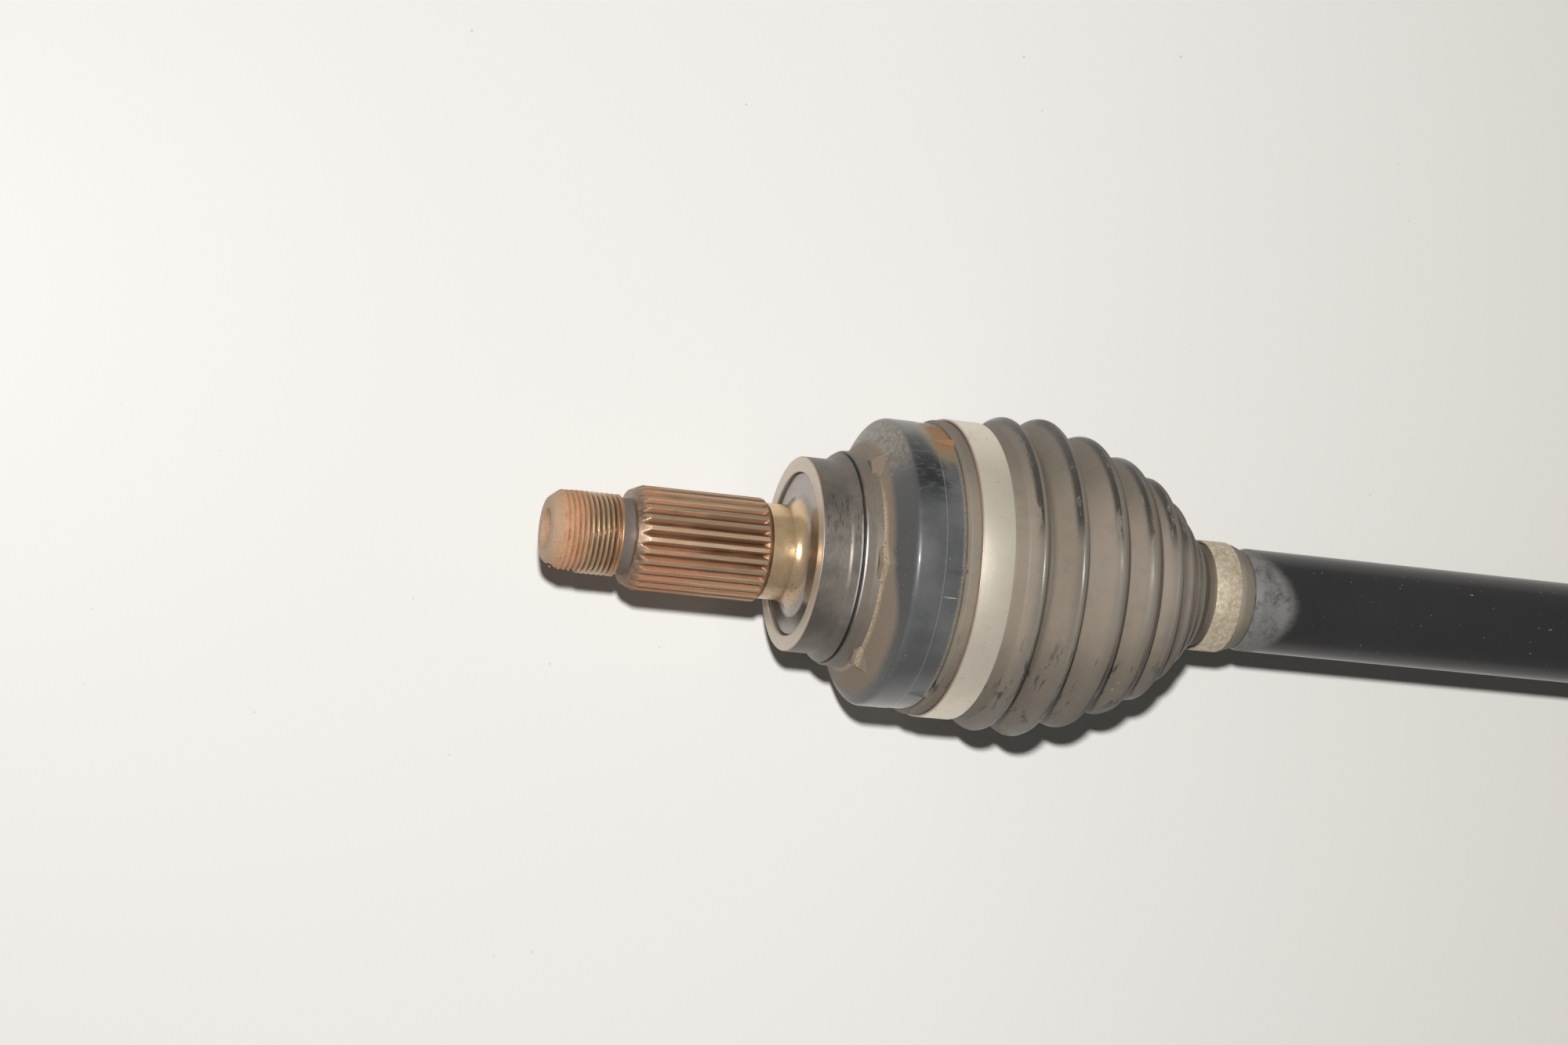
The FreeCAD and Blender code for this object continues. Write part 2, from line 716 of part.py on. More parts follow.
def outer_boot():
    shape = boot(boot_seat_radius + seat_clearance, outer_boot_rim_length, outer_boot_bellows_length,
                 outer_fold_shares, outer_clamp_x - outer_fold_x,
                 bead_groove_start_x - outer_fold_x + seat_clearance,
                 bead_groove_end_x - outer_fold_x - seat_clearance, bead_groove_depth)
    shape.translate(Vector(outer_fold_x, 0, 0))
    return shape


def inner_boot():
    groove_end_x = collar_groove_x + collar_groove_length
    shape = boot(collar_radius + body_gap, inner_boot_rim_length, inner_boot_bellows_length,
                 inner_fold_shares, inner_fold_x - inner_clamp_x - large_clamp_width,
                 inner_fold_x - groove_end_x + body_gap, inner_fold_x - collar_groove_x - body_gap,
                 collar_groove_depth)
    shape.rotate(Vector(0, 0, 0), Vector(0, 0, 1), 180)
    shape.translate(Vector(inner_fold_x, 0, 0))
    return shape


# Clamps

def band_clamp(x_start, width, inner_radius, ear_width):
    # a closed band with one low crimped ear, which is a hollow bridge over the band
    outer_radius = inner_radius + clamp_thickness
    band = tube_solid(x_start, x_start + width, outer_radius, inner_radius)
    foot = inner_radius + clamp_thickness / 2
    top = outer_radius + ear_height
    bridge = Part.makeBox(width, ear_width, top - foot, Vector(x_start, -ear_width / 2, foot))
    near_top = top - clamp_thickness / 2
    shoulders = [edge for edge in bridge.Edges
                 if abs(edge.tangentAt(edge.FirstParameter).x) > 0.9 and edge.CenterOfMass.z > near_top]
    bridge = bridge.makeFillet(clamp_thickness * 1.5, shoulders)
    hollow_width = ear_width - 2 * clamp_thickness
    hollow = Part.makeBox(width + 2 * overhang, hollow_width, top - clamp_thickness - outer_radius,
                          Vector(x_start - overhang, -hollow_width / 2, outer_radius))
    bridge = bridge.cut(hollow).cut(disc_solid(x_start - overhang, x_start + width + overhang, foot))
    shape = band.fuse(bridge)
    shape.rotate(Vector(0, 0, 0), axis_x, ear_angle - 90)
    return shape.removeSplitter()


# Inner joint: spider, rollers, needles and clips

def inner_spider():
    hub = turned([
        (spider_start_x, 0),
        (spider_start_x, spider_hub_radius, spider_hub_rounding),
        (spider_end_x, spider_hub_radius, spider_hub_rounding),
        (spider_end_x, 0),
    ])
    centre = Vector(inner_centre_x, 0, 0)
    clip_inner = trunnion_radius - roller_clip_height / 2
    for angle in roller_angles():
        out = radial(angle)
        chamfer_start = trunnion_tip_radius - trunnion_chamfer
        arm = Part.makeCylinder(trunnion_radius, chamfer_start, centre, out)
        arm_end = Part.makeCone(trunnion_radius, trunnion_radius - trunnion_chamfer, trunnion_chamfer,
                                centre + out * chamfer_start, out)
        root = Part.makeCylinder(trunnion_root_radius, roller_inner_face - body_gap, centre, out)
        hub = hub.fuse([arm, arm_end, root])
        groove_start = roller_outer_face + roller_clip_gap - seat_clearance
        groove_depth = roller_clip_thickness + 2 * seat_clearance
        place = centre + out * groove_start
        groove = Part.makeCylinder(trunnion_radius + overhang, groove_depth, place, out)
        groove = groove.cut(Part.makeCylinder(clip_inner, groove_depth, place, out))
        hub = hub.cut(groove)
    bore = toothed_bar(spider_start_x - overhang, spider_end_x + overhang,
                       shaft_spline_radius - shaft_spline_depth + spline_clearance,
                       shaft_spline_radius + spline_clearance, shaft_spline_teeth)
    return hub.cut(bore)


def roller_blank():
    # along Z, with the middle of the roller at the origin
    half = roller_width / 2
    edge_radius = math.sqrt(roller_radius ** 2 - half ** 2)
    edges = [
        Part.Arc(Vector(edge_radius, 0, -half), Vector(roller_radius, 0, 0),
                 Vector(edge_radius, 0, half)).toShape(),
        Part.makeLine(Vector(edge_radius, 0, half), Vector(roller_bore_radius, 0, half)),
        Part.makeLine(Vector(roller_bore_radius, 0, half), Vector(roller_bore_radius, 0, -half)),
        Part.makeLine(Vector(roller_bore_radius, 0, -half), Vector(edge_radius, 0, -half)),
    ]
    return Part.Face(Part.Wire(edges)).revolve(Vector(0, 0, 0), Vector(0, 0, 1), 360)


def needle_set():
    length = roller_width - 2 * needle_end_gap
    needles = []
    for i in range(needle_count):
        turn = 2 * math.pi * i / needle_count
        place = Vector(needle_pitch_radius * math.cos(turn), needle_pitch_radius * math.sin(turn),
                       -length / 2)
        needles.append(Part.makeCylinder(needle_radius, length, place))
    return Part.makeCompound(needles)


def roller_clip():
    inner = trunnion_radius - roller_clip_height / 2 + seat_clearance
    start = roller_width / 2 + roller_clip_gap
    clip = Part.makeCylinder(inner + roller_clip_height, roller_clip_thickness, Vector(0, 0, start))
    clip = clip.cut(Part.makeCylinder(inner, roller_clip_thickness, Vector(0, 0, start)))
    gap = Part.makeBox(inner * 2, ring_gap_width, roller_clip_thickness + 2 * overhang,
                       Vector(0, -ring_gap_width / 2, start - overhang))
    return clip.cut(gap)


def on_trunnion(shape, angle):
    # from the Z axis to the trunnion at that angle
    shape = shape.copy()
    shape.translate(Vector(0, 0, roller_pitch_radius))
    shape.rotate(Vector(0, 0, 0), axis_x, angle - 90)
    shape.translate(Vector(inner_centre_x, 0, 0))
    return shape


# Gearbox side housing, a tulip with three tracks

def lobed_bar(x_start, x_end, lobe_radius, roof_radius, core_radius):
    # three lobes round the rollers, cut off by a roof, with a round core between them
    lobes = []
    for angle in roller_angles():
        place = Vector(x_start, 0, 0) + radial(angle) * roller_pitch_radius
        lobes.append(Part.makeCylinder(lobe_radius, x_end - x_start, place, axis_x))
    lobes = lobes[0].fuse(lobes[1:]).common(disc_solid(x_start, x_end, roof_radius))
    return lobes.fuse(disc_solid(x_start, x_end, core_radius)).removeSplitter()


def inner_housing():
    collar_end = tulip_mouth_x + collar_length
    outer_lobe_radius = roller_track_radius + tulip_wall
    outer_roof_radius = roller_track_roof_radius + tulip_wall
    valley_radius = tulip_bore_radius + tulip_valley_wall
    shoulder = tulip_shoulder_rounding
    body = lobed_bar(tulip_mouth_x + overhang, tulip_end_x, outer_lobe_radius, outer_roof_radius,
                     valley_radius)
    rounding = turned([
        (tulip_mouth_x, 0),
        (tulip_mouth_x, collar_radius),
        (tulip_end_x, collar_radius, shoulder * 2),
        (tulip_end_x, 0),
    ])
    body = body.common(rounding)
    collar = turned([
        (tulip_mouth_x, 0),
        (tulip_mouth_x, collar_radius, collar_rounding),
        (collar_end, collar_radius, collar_rounding),
        (collar_end + shoulder, outer_roof_radius - shoulder),
        (collar_end + shoulder, 0),
    ])
    journal_end = tulip_end_x + journal_length
    neck_end = journal_end + gearbox_neck_length
    stub = turned([
        (tulip_floor_x, 0),
        (tulip_floor_x, journal_radius),
        (tulip_end_x, journal_radius + journal_flange_height, journal_rounding),
        (tulip_end_x + journal_flange_length, journal_radius, journal_rounding),
        (journal_end, journal_radius, journal_end_rounding),
        (journal_end + gearbox_step_length, gearbox_neck_radius, journal_rounding),
        (neck_end, gearbox_neck_radius, journal_rounding),
        (neck_end + gearbox_step_length, gearbox_spline_radius, turned_edge_rounding),
        (gearbox_tip_x - gearbox_tip_chamfer, gearbox_spline_radius, turned_edge_rounding),
        (gearbox_tip_x, gearbox_spline_radius - gearbox_tip_chamfer),
        (gearbox_tip_x, 0),
    ])
    shape = body.fuse([collar, stub])
    cavity = lobed_bar(tulip_mouth_x - overhang, tulip_floor_x, roller_track_radius,
                       roller_track_roof_radius, tulip_bore_radius)
    flare = turned([
        (tulip_mouth_x - overhang, 0),
        (tulip_mouth_x - overhang, tulip_mouth_radius),
        (tulip_mouth_x, tulip_mouth_radius),
        (tulip_mouth_x + tulip_flare_length, tulip_bore_radius),
        (tulip_mouth_x + tulip_flare_length, 0),
    ])
    shape = shape.cut([cavity, flare])
    cutters = [
        groove_cutter(neck_end, gearbox_tip_x + overhang, gearbox_spline_radius
                      - gearbox_spline_depth, gearbox_spline_radius, gearbox_spline_teeth),
        ring_groove(gearbox_ring_x, gearbox_spline_radius, ring_groove_depth),
        # the groove that the boot's bead sits in goes round the collar and the lobes alike
        tube_solid(collar_groove_x, collar_groove_x + collar_groove_length, collar_radius + overhang,
                   collar_radius - collar_groove_depth),
    ]
    return shape.cut(cutters)


os.makedirs("parts", exist_ok=True)
save(outer_housing(), "outer_housing")
save(outer_inner_race(), "outer_inner_race")
save(outer_cage(), "outer_cage")
for number, angle in enumerate(ball_angles(), start=1):
    save(outer_ball(angle), "outer_ball_" + str(number))
save(retaining_ring(race_ring_x, ring_inner_radius), "outer_race_circlip")
save(outer_boot(), "outer_boot")
save(band_clamp(outer_clamp_x, large_clamp_width, outer_clamp_radius, large_ear_width),
     "outer_clamp_large")
save(band_clamp(outer_neck_clamp_x, small_clamp_width, boot_neck_radius + body_gap, small_ear_width),
     "outer_clamp_small")
save(shaft_tube(), "shaft_tube")
save(band_clamp(inner_neck_clamp_x, small_clamp_width, boot_neck_radius + body_gap, small_ear_width),
     "inner_clamp_small")
save(inner_boot(), "inner_boot")
save(band_clamp(inner_clamp_x, large_clamp_width, inner_clamp_radius, large_ear_width),
     "inner_clamp_large")
save(inner_housing(), "inner_housing")
save(inner_spider(), "inner_spider")
for number, angle in enumerate(roller_angles(), start=1):
    save(on_trunnion(roller_blank(), angle), "inner_roller_" + str(number))
    save(on_trunnion(needle_set(), angle), "inner_needles_" + str(number))
    save(on_trunnion(roller_clip(), angle), "inner_roller_clip_" + str(number))
save(retaining_ring(stop_ring_x, ring_inner_radius), "inner_stop_ring")
save(retaining_ring(spider_ring_x, ring_inner_radius), "inner_spider_circlip")
save(retaining_ring(gearbox_ring_x, gearbox_spline_radius - ring_groove_depth + seat_clearance),
     "stub_circlip")
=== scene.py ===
# Drive shaft lying on a pale floor: wheel end stub, ball joint, boots and bands, shaft, gearbox end
import bpy
import bmesh
import json
import math
import numpy as np
from mathutils import Matrix, Vector


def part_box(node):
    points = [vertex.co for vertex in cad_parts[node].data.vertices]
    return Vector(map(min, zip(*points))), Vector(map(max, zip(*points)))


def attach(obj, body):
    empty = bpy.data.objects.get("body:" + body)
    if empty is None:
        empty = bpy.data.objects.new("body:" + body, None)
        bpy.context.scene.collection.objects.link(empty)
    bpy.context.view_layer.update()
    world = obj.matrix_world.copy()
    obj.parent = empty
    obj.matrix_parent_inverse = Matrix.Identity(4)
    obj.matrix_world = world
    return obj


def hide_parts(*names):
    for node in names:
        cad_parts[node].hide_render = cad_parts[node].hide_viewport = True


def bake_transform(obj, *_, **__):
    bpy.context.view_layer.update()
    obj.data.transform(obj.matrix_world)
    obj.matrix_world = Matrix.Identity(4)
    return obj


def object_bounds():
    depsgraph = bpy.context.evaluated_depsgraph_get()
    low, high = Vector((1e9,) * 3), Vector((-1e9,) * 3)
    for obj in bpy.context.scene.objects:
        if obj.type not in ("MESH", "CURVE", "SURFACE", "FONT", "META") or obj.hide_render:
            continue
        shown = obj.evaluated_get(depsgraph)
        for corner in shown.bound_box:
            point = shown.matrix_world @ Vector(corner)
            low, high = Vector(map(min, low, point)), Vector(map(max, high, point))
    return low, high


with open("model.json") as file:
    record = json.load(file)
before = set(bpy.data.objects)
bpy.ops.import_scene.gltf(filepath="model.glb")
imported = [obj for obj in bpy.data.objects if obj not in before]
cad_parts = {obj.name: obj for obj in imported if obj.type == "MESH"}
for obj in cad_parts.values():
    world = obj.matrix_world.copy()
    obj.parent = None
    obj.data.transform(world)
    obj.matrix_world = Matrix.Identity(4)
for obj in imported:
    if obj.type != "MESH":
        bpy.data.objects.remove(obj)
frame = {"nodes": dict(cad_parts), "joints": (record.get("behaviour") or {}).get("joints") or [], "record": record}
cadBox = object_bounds()
nodes = frame["nodes"]
mm = 0.001

# every place is in millimetres along the shaft, from the wheel end's tip, as the frame gives it
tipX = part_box("outer_housing")[0].x / mm
seatX = tipX + 75.0
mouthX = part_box("outer_housing")[1].x / mm
jointX = next(j for j in frame["joints"] if j["name"] == "outer_bend")["pos_m"][0] / mm
rollerX = next(j for j in frame["joints"] if j["name"] == "inner_bend")["pos_m"][0] / mm
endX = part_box("inner_housing")[1].x / mm
print("frame loaded")


# Node writing

class Wire:
    # a socket that sums and products can be written with
    def __init__(self, board, socket):
        self.board = board
        self.socket = socket

    def __add__(self, other):
        return self.board.maths("ADD", self, other)

    def __radd__(self, other):
        return self.board.maths("ADD", other, self)

    def __sub__(self, other):
        return self.board.maths("SUBTRACT", self, other)

    def __rsub__(self, other):
        return self.board.maths("SUBTRACT", other, self)

    def __mul__(self, other):
        return self.board.maths("MULTIPLY", self, other)

    def __rmul__(self, other):
        return self.board.maths("MULTIPLY", other, self)

    def __truediv__(self, other):
        return self.board.maths("DIVIDE", self, other)

    def __rtruediv__(self, other):
        return self.board.maths("DIVIDE", other, self)

    def __abs__(self):
        return self.board.maths("ABSOLUTE", self)


class Board:
    # one node tree, for a finish or for a shape
    def __init__(self, tree):
        self.tree = tree

    def node(self, kind, settings=None, sockets=None, out=0):
        made = self.tree.nodes.new(kind)
        for name, value in (settings or {}).items():
            setattr(made, name, value)
        for name, value in (sockets or {}).items():
            socket = self.pick(made.inputs, name)
            if isinstance(value, Wire):
                self.tree.links.new(value.socket, socket)
            else:
                socket.default_value = value
        return Wire(self, self.pick(made.outputs, out)) if len(made.outputs) else made

    def pick(self, sockets, name):
        if isinstance(name, int):
            return sockets[name]
        return next((s for s in sockets if s.identifier == name), None) or sockets[name]

    def other(self, wire, name):
        # another output of the node that a wire comes from
        return Wire(self, self.pick(wire.socket.node.outputs, name))

    def maths(self, operation, *values):
        return self.node("ShaderNodeMath", {"operation": operation}, dict(enumerate(values)))

    def least(self, first, second):
        return self.maths("MINIMUM", first, second)

    def most(self, first, second):
        return self.maths("MAXIMUM", first, second)

    def rise(self, value, low, high, kind="SMOOTHSTEP"):
        # 0 below low, 1 above high; low may be the larger one
        return self.node("ShaderNodeMapRange", {"interpolation_type": kind},
                         {"Value": value, "From Min": low, "From Max": high})

    def band(self, value, start, end, soft):
        return self.rise(value, start - soft, start + soft) * self.rise(value, end + soft, end - soft)

    def split(self, vector):
        x = self.node("ShaderNodeSeparateXYZ", {}, {0: vector})
        return x, self.other(x, 1), self.other(x, 2)

    def position(self):
        return self.split(self.node("GeometryNodeInputPosition"))

    def moved(self, geometry, x, y, z):
        place = self.node("ShaderNodeCombineXYZ", {}, {0: x, 1: y, 2: z})
        return self.node("GeometryNodeSetPosition", {}, {"Geometry": geometry, "Position": place})


def tint(red, green, blue):
    # a colour as a screen shows it, 0 to 255, as the linear values that a shader takes
    shares = [channel / 255 for channel in (red, green, blue)]
    return tuple(s / 12.92 if s <= 0.04045 else ((s + 0.055) / 1.055) ** 2.4 for s in shares) + (1.0,)


class Finish(Board):
    # a material, with the places on the piece in millimetres
    def __init__(self, name, attribute=None):
        self.material = bpy.data.materials.new(name)
        self.material.use_nodes = True
        self.material.node_tree.nodes.clear()
        super().__init__(self.material.node_tree)
        if attribute:
            source = self.node("ShaderNodeAttribute", {"attribute_name": attribute}, {}, "Vector")
        else:
            source = self.node("ShaderNodeTexCoord", {}, {}, "Object")
        self.place = self.node("ShaderNodeVectorMath", {"operation": "SCALE"},
                               {0: source, "Scale": 1 / mm})
        self.x, self.y, self.z = self.split(self.place)
        self.radius = self.maths("SQRT", self.y * self.y + self.z * self.z)

    def noise(self, scale, detail=4.0, rough=0.55, warp=0.0, stretch=None):
        place = self.place
        if stretch:
            place = self.node("ShaderNodeVectorMath", {"operation": "MULTIPLY"}, {0: place, 1: stretch})
        return self.node("ShaderNodeTexNoise", {},
                         {"Vector": place, "Scale": scale, "Detail": detail, "Roughness": rough,
                          "Distortion": warp}, "Fac")

    def colours(self, share, first, second):
        first, second = [tone if isinstance(tone, Wire) else tint(*tone) for tone in (first, second)]
        return self.node("ShaderNodeMix", {"data_type": "RGBA"},
                         {"Factor_Float": share, "A_Color": first, "B_Color": second}, "Result_Color")

    def zone(self, value, name):
        # 0 at the first end of a zone, 1 at its second
        return self.rise(value, *zones[name])

    def lay(self, share, tone):
        # a tone over the colour so far
        self.colour = self.colours(share, self.colour, tone)

    def surface(self, rough, metal=0.0, height=None, strength=1.0, coat=None, **fixed):
        sockets = {"Base Color": self.colour, "Roughness": rough, "Metallic": metal}
        if height is not None:
            sockets["Normal"] = self.node("ShaderNodeBump", {},
                                          {"Height": height, "Strength": strength, "Distance": mm})
        if coat is not None:
            sockets["Coat Weight"] = coat
        sockets.update({name.replace("_", " "): value for name, value in fixed.items()})
        shader = self.node("ShaderNodeBsdfPrincipled", {}, sockets)
        self.node("ShaderNodeOutputMaterial", {}, {"Surface": shader})
        return self.material


# Mesh making

def roundOff(corners, arcStep=15):
    # corners are (x, r) or (x, r, rounding); a rounding becomes a short run of points, as wide as it may
    line = []
    for i, corner in enumerate(corners):
        here = Vector(corner[:2])
        if len(corner) < 3 or i in (0, len(corners) - 1):
            line.append(here)
            continue
        back = Vector(corners[i - 1][:2]) - here
        ahead = Vector(corners[i + 1][:2]) - here
        half = back.angle(ahead) / 2
        reach = min(corner[2] / math.tan(half), 0.49 * back.length, 0.49 * ahead.length)
        rounding = reach * math.tan(half)
        centre = here + (back.normalized() + ahead.normalized()).normalized() * (rounding / math.sin(half))
        start = here + back.normalized() * reach - centre
        end = here + ahead.normalized() * reach - centre
        turn = start.angle_signed(end)
        steps = max(2, math.ceil(math.degrees(abs(turn)) / arcStep))
        for k in range(steps + 1):
            spin = Matrix.Rotation(-turn * k / steps, 2)
            line.append(centre + spin @ start)
    return line


def dense(line, low, high, gap):
    # more rings between low and high, where a rule cuts the surface later
    fuller = [line[0]]
    for here, there in zip(line, line[1:]):
        middle = (here.x + there.x) / 2
        pieces = max(1, math.ceil((there - here).length / gap)) if low < middle < high else 1
        fuller += [here.lerp(there, k / pieces) for k in range(1, pieces + 1)]
    return fuller


def turnedMesh(name, line, steps, ring=False, reach=None):
    # spins a line of (x, r) points about the shaft's axis; ring joins its last point to its first
    angles = np.arange(steps) * 2 * math.pi / steps
    vertices = []
    rows = []
    for x, radius in line:
        if radius < 1e-6:
            rows.append([len(vertices)])
            vertices.append((x * mm, 0.0, 0.0))
            continue
        around = np.full(steps, radius) if reach is None else reach(x, radius, angles)
        rows.append(list(range(len(vertices), len(vertices) + steps)))
        vertices += [(x * mm, r * mm * math.cos(a), r * mm * math.sin(a)) for r, a in zip(around, angles)]
    faces = []
    pairs = list(zip(rows, rows[1:])) + ([(rows[-1], rows[0])] if ring else [])
    for here, there in pairs:
        for k in range(steps):
            # a ring at the axis is a single point, so its corner comes twice and one goes
            corners = ((here, k), (here, k + 1), (there, k + 1), (there, k))
            corners = tuple(dict.fromkeys(row[n % len(row)] for row, n in corners))
            if len(corners) > 2:
                faces.append(corners)
    mesh = bpy.data.meshes.new(name)
    mesh.from_pydata(vertices, [], faces)
    return linked(name, outward(mesh))


def outward(mesh):
    work = bmesh.new()
    work.from_mesh(mesh)
    bmesh.ops.remove_doubles(work, verts=work.verts, dist=1e-7)
    bmesh.ops.recalc_face_normals(work, faces=work.faces)
    work.to_mesh(mesh)
    work.free()
    return mesh


def linked(name, mesh):
    made = bpy.data.objects.new(name, mesh)
    bpy.context.scene.collection.objects.link(made)
    return made


def smoothed(made, crease=32):
    made.data.shade_smooth()
    made.data.set_sharp_from_angle(angle=math.radians(crease))
    return made


def dressed(made, body, slot, *replaced):
    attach(made, body)
    if replaced:
        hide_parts(*replaced)
    return made


# Shapes that follow a rule

def ruleTree(name, sizes, write):
    # a tree with named sizes in metres or plain numbers, whose body is written by a function
    tree = bpy.data.node_groups.new(name, "GeometryNodeTree")
    tree.interface.new_socket("Geometry", in_out="INPUT", socket_type="NodeSocketGeometry")
    for label in sizes:
        tree.interface.new_socket(label, in_out="INPUT", socket_type="NodeSocketFloat")
    tree.interface.new_socket("Finish", in_out="INPUT", socket_type="NodeSocketMaterial")
    tree.interface.new_socket("Geometry", in_out="OUTPUT", socket_type="NodeSocketGeometry")
    board = Board(tree)
    geometry = board.node("NodeGroupInput", {}, {}, "Geometry")
    given = {label: board.other(geometry, label) for label in list(sizes) + ["Finish"]}
    shape = write(board, geometry, given)
    realized = board.node("GeometryNodeRealizeInstances", {}, {"Geometry": shape})
    coated = board.node("GeometryNodeSetMaterial", {}, {"Geometry": realized, "Material": given["Finish"]})
    board.node("NodeGroupOutput", {}, {0: coated})
    return tree


def shapedBy(made, tree, finish, **values):
    # adds the tree to the piece with its sizes in mm, keeps the result as a plain mesh and removes the
    # modifier; counts, shares and turns are plain numbers
    plain = ("Teeth", "Groove share", "Flank share", "Seam turn", "Ear turn")
    modifier = made.modifiers.new(tree.name, "NODES")
    modifier.node_group = tree
    values = {name.replace("_", " "): value for name, value in values.items()}
    for item in tree.interface.items_tree:
        if item.in_out == "INPUT" and item.name in values:
            modifier[item.identifier] = float(values[item.name] * (1 if item.name in plain else mm))
        elif item.in_out == "INPUT" and item.name == "Finish":
            modifier[item.identifier] = finish
    evaluated = made.evaluated_get(bpy.context.evaluated_depsgraph_get())
    result = bpy.data.meshes.new_from_object(evaluated)
    made.modifiers.clear()
    made.data = result
    result.name = made.name
    return made


def polar(board):
    x, y, z = board.position()
    radius = board.most(board.maths("SQRT", y * y + z * z), 1e-9)
    return x, y, z, radius, board.maths("ARCTAN2", z, y) / (2 * math.pi)


def pulledIn(board, geometry, point, limit):
    # moves each point straight in to the axis, to the limit at most
    x, y, z, radius, _ = point
    share = board.least(radius, limit) / radius
    return board.moved(geometry, x, y * share, z * share)


def outsideOf(board, x, given):
    # 1 where a rule has no reach, which lifts its limit clear of the piece
    return board.maths("LESS_THAN", x, given["Start"]) + board.maths("GREATER_THAN", x, given["End"])


def writeThread(board, geometry, given):
    point = x, _, _, _, turn = polar(board)
    phase = board.maths("FRACT", x / given["Pitch"] - turn)
    # 0 on the crest of a turn, 1 in its root, with a flat at each
    fall = board.rise(1 - abs(phase * 2 - 1), 0.26, 0.96, "LINEAR")
    # the first turns are filled up with rust, and the last one runs out
    caked = given["Caked length"]
    crust = board.rise(x, given["Start"] + caked, given["Start"] + caked * 0.5)
    lumps = board.node("ShaderNodeTexNoise", {}, {"Scale": 300.0, "Detail": 3.0}, "Fac")
    filled = crust * board.rise(lumps, 0.25, 0.62) * 0.8
    runout = board.rise(x, given["End"], given["End"] - given["Pitch"])
    depth = given["Depth"] * fall * runout * (1 - filled)
    limit = given["Radius"] - depth - lumps * crust * 0.00035
    return pulledIn(board, geometry, point, limit)


def writeTeeth(board, geometry, given):
    point = x, _, _, _, turn = polar(board)
    # 0 in the middle of a groove, 1 in the middle of a tooth
    phase = 1 - abs(board.maths("FRACT", turn * given["Teeth"] + 0.5) - 0.5) * 2
    land = board.rise(phase, given["Groove share"], given["Groove share"] + given["Flank share"], "LINEAR")
    # towards one end the cutter came out, so the grooves get shallow
    shallow = board.rise(x, given["Fade end"] - given["Fade length"], given["Fade end"]) * 0.7
    limit = given["Root radius"] + given["Depth"] * board.most(land, shallow) + outsideOf(board, x, given)
    return pulledIn(board, geometry, point, limit)


def writeSlot(board, geometry, given):
    # a flat-bottomed slot from the tip, on the side that faces -Y, with a rough broken edge
    x, y, z = board.position()
    chips = board.node("ShaderNodeTexNoise", {}, {"Scale": 900.0, "Detail": 2.0}, "Fac") * 0.0009
    across = board.maths("LESS_THAN", abs(z), given["Width"] / 2 + chips - 0.00045)
    along = board.maths("LESS_THAN", x, given["Start"] + given["Length"] + chips * 2)
    floor = board.most(y, given["Depth"] - given["Radius"])
    return board.moved(geometry, x, y + (floor - y) * (across * along), z)


def writeLobes(board, geometry, given):
    point = x, _, _, _, turn = polar(board)
    # the turn to the nearest of three rollers, the first of which stands at +Z
    share = (board.maths("FRACT", (turn - 0.25) * 3 + 0.5) - 0.5) * (2 * math.pi / 3)
    pitch = given["Roller pitch"]
    side = board.maths("SINE", share) * pitch
    lobe = board.maths("COSINE", share) * pitch
    rest = given["Lobe radius"] * given["Lobe radius"] - side * side
    lobe = lobe + board.maths("SQRT", board.most(rest, 0))
    lobe = board.maths("SMOOTH_MIN", lobe, given["Roof radius"], 0.0015)
    limit = board.maths("SMOOTH_MAX", lobe, given["Core radius"], 0.003)
    return pulledIn(board, geometry, point, limit + outsideOf(board, x, given))


def writeMoulded(board, geometry, given):
    # soft waves over the whole piece and a thin seam where the mould's halves met
    _, _, _, radius, turn = polar(board)
    waves = board.node("ShaderNodeTexNoise", {}, {"Scale": 38.0, "Detail": 2.0}, "Fac") - 0.5
    offSeam = abs(board.maths("FRACT", turn - given["Seam turn"] + 0.5) - 0.5) * radius * (2 * math.pi)
    seam = board.rise(offSeam, given["Seam width"], 0.0)
    push = waves * given["Waves"] + seam * given["Seam height"]
    outerSide = board.node("ShaderNodeVectorMath", {"operation": "SCALE"},
                           {0: board.node("GeometryNodeInputNormal"), "Scale": push})
    return board.node("GeometryNodeSetPosition", {}, {"Geometry": geometry, "Offset": outerSide})


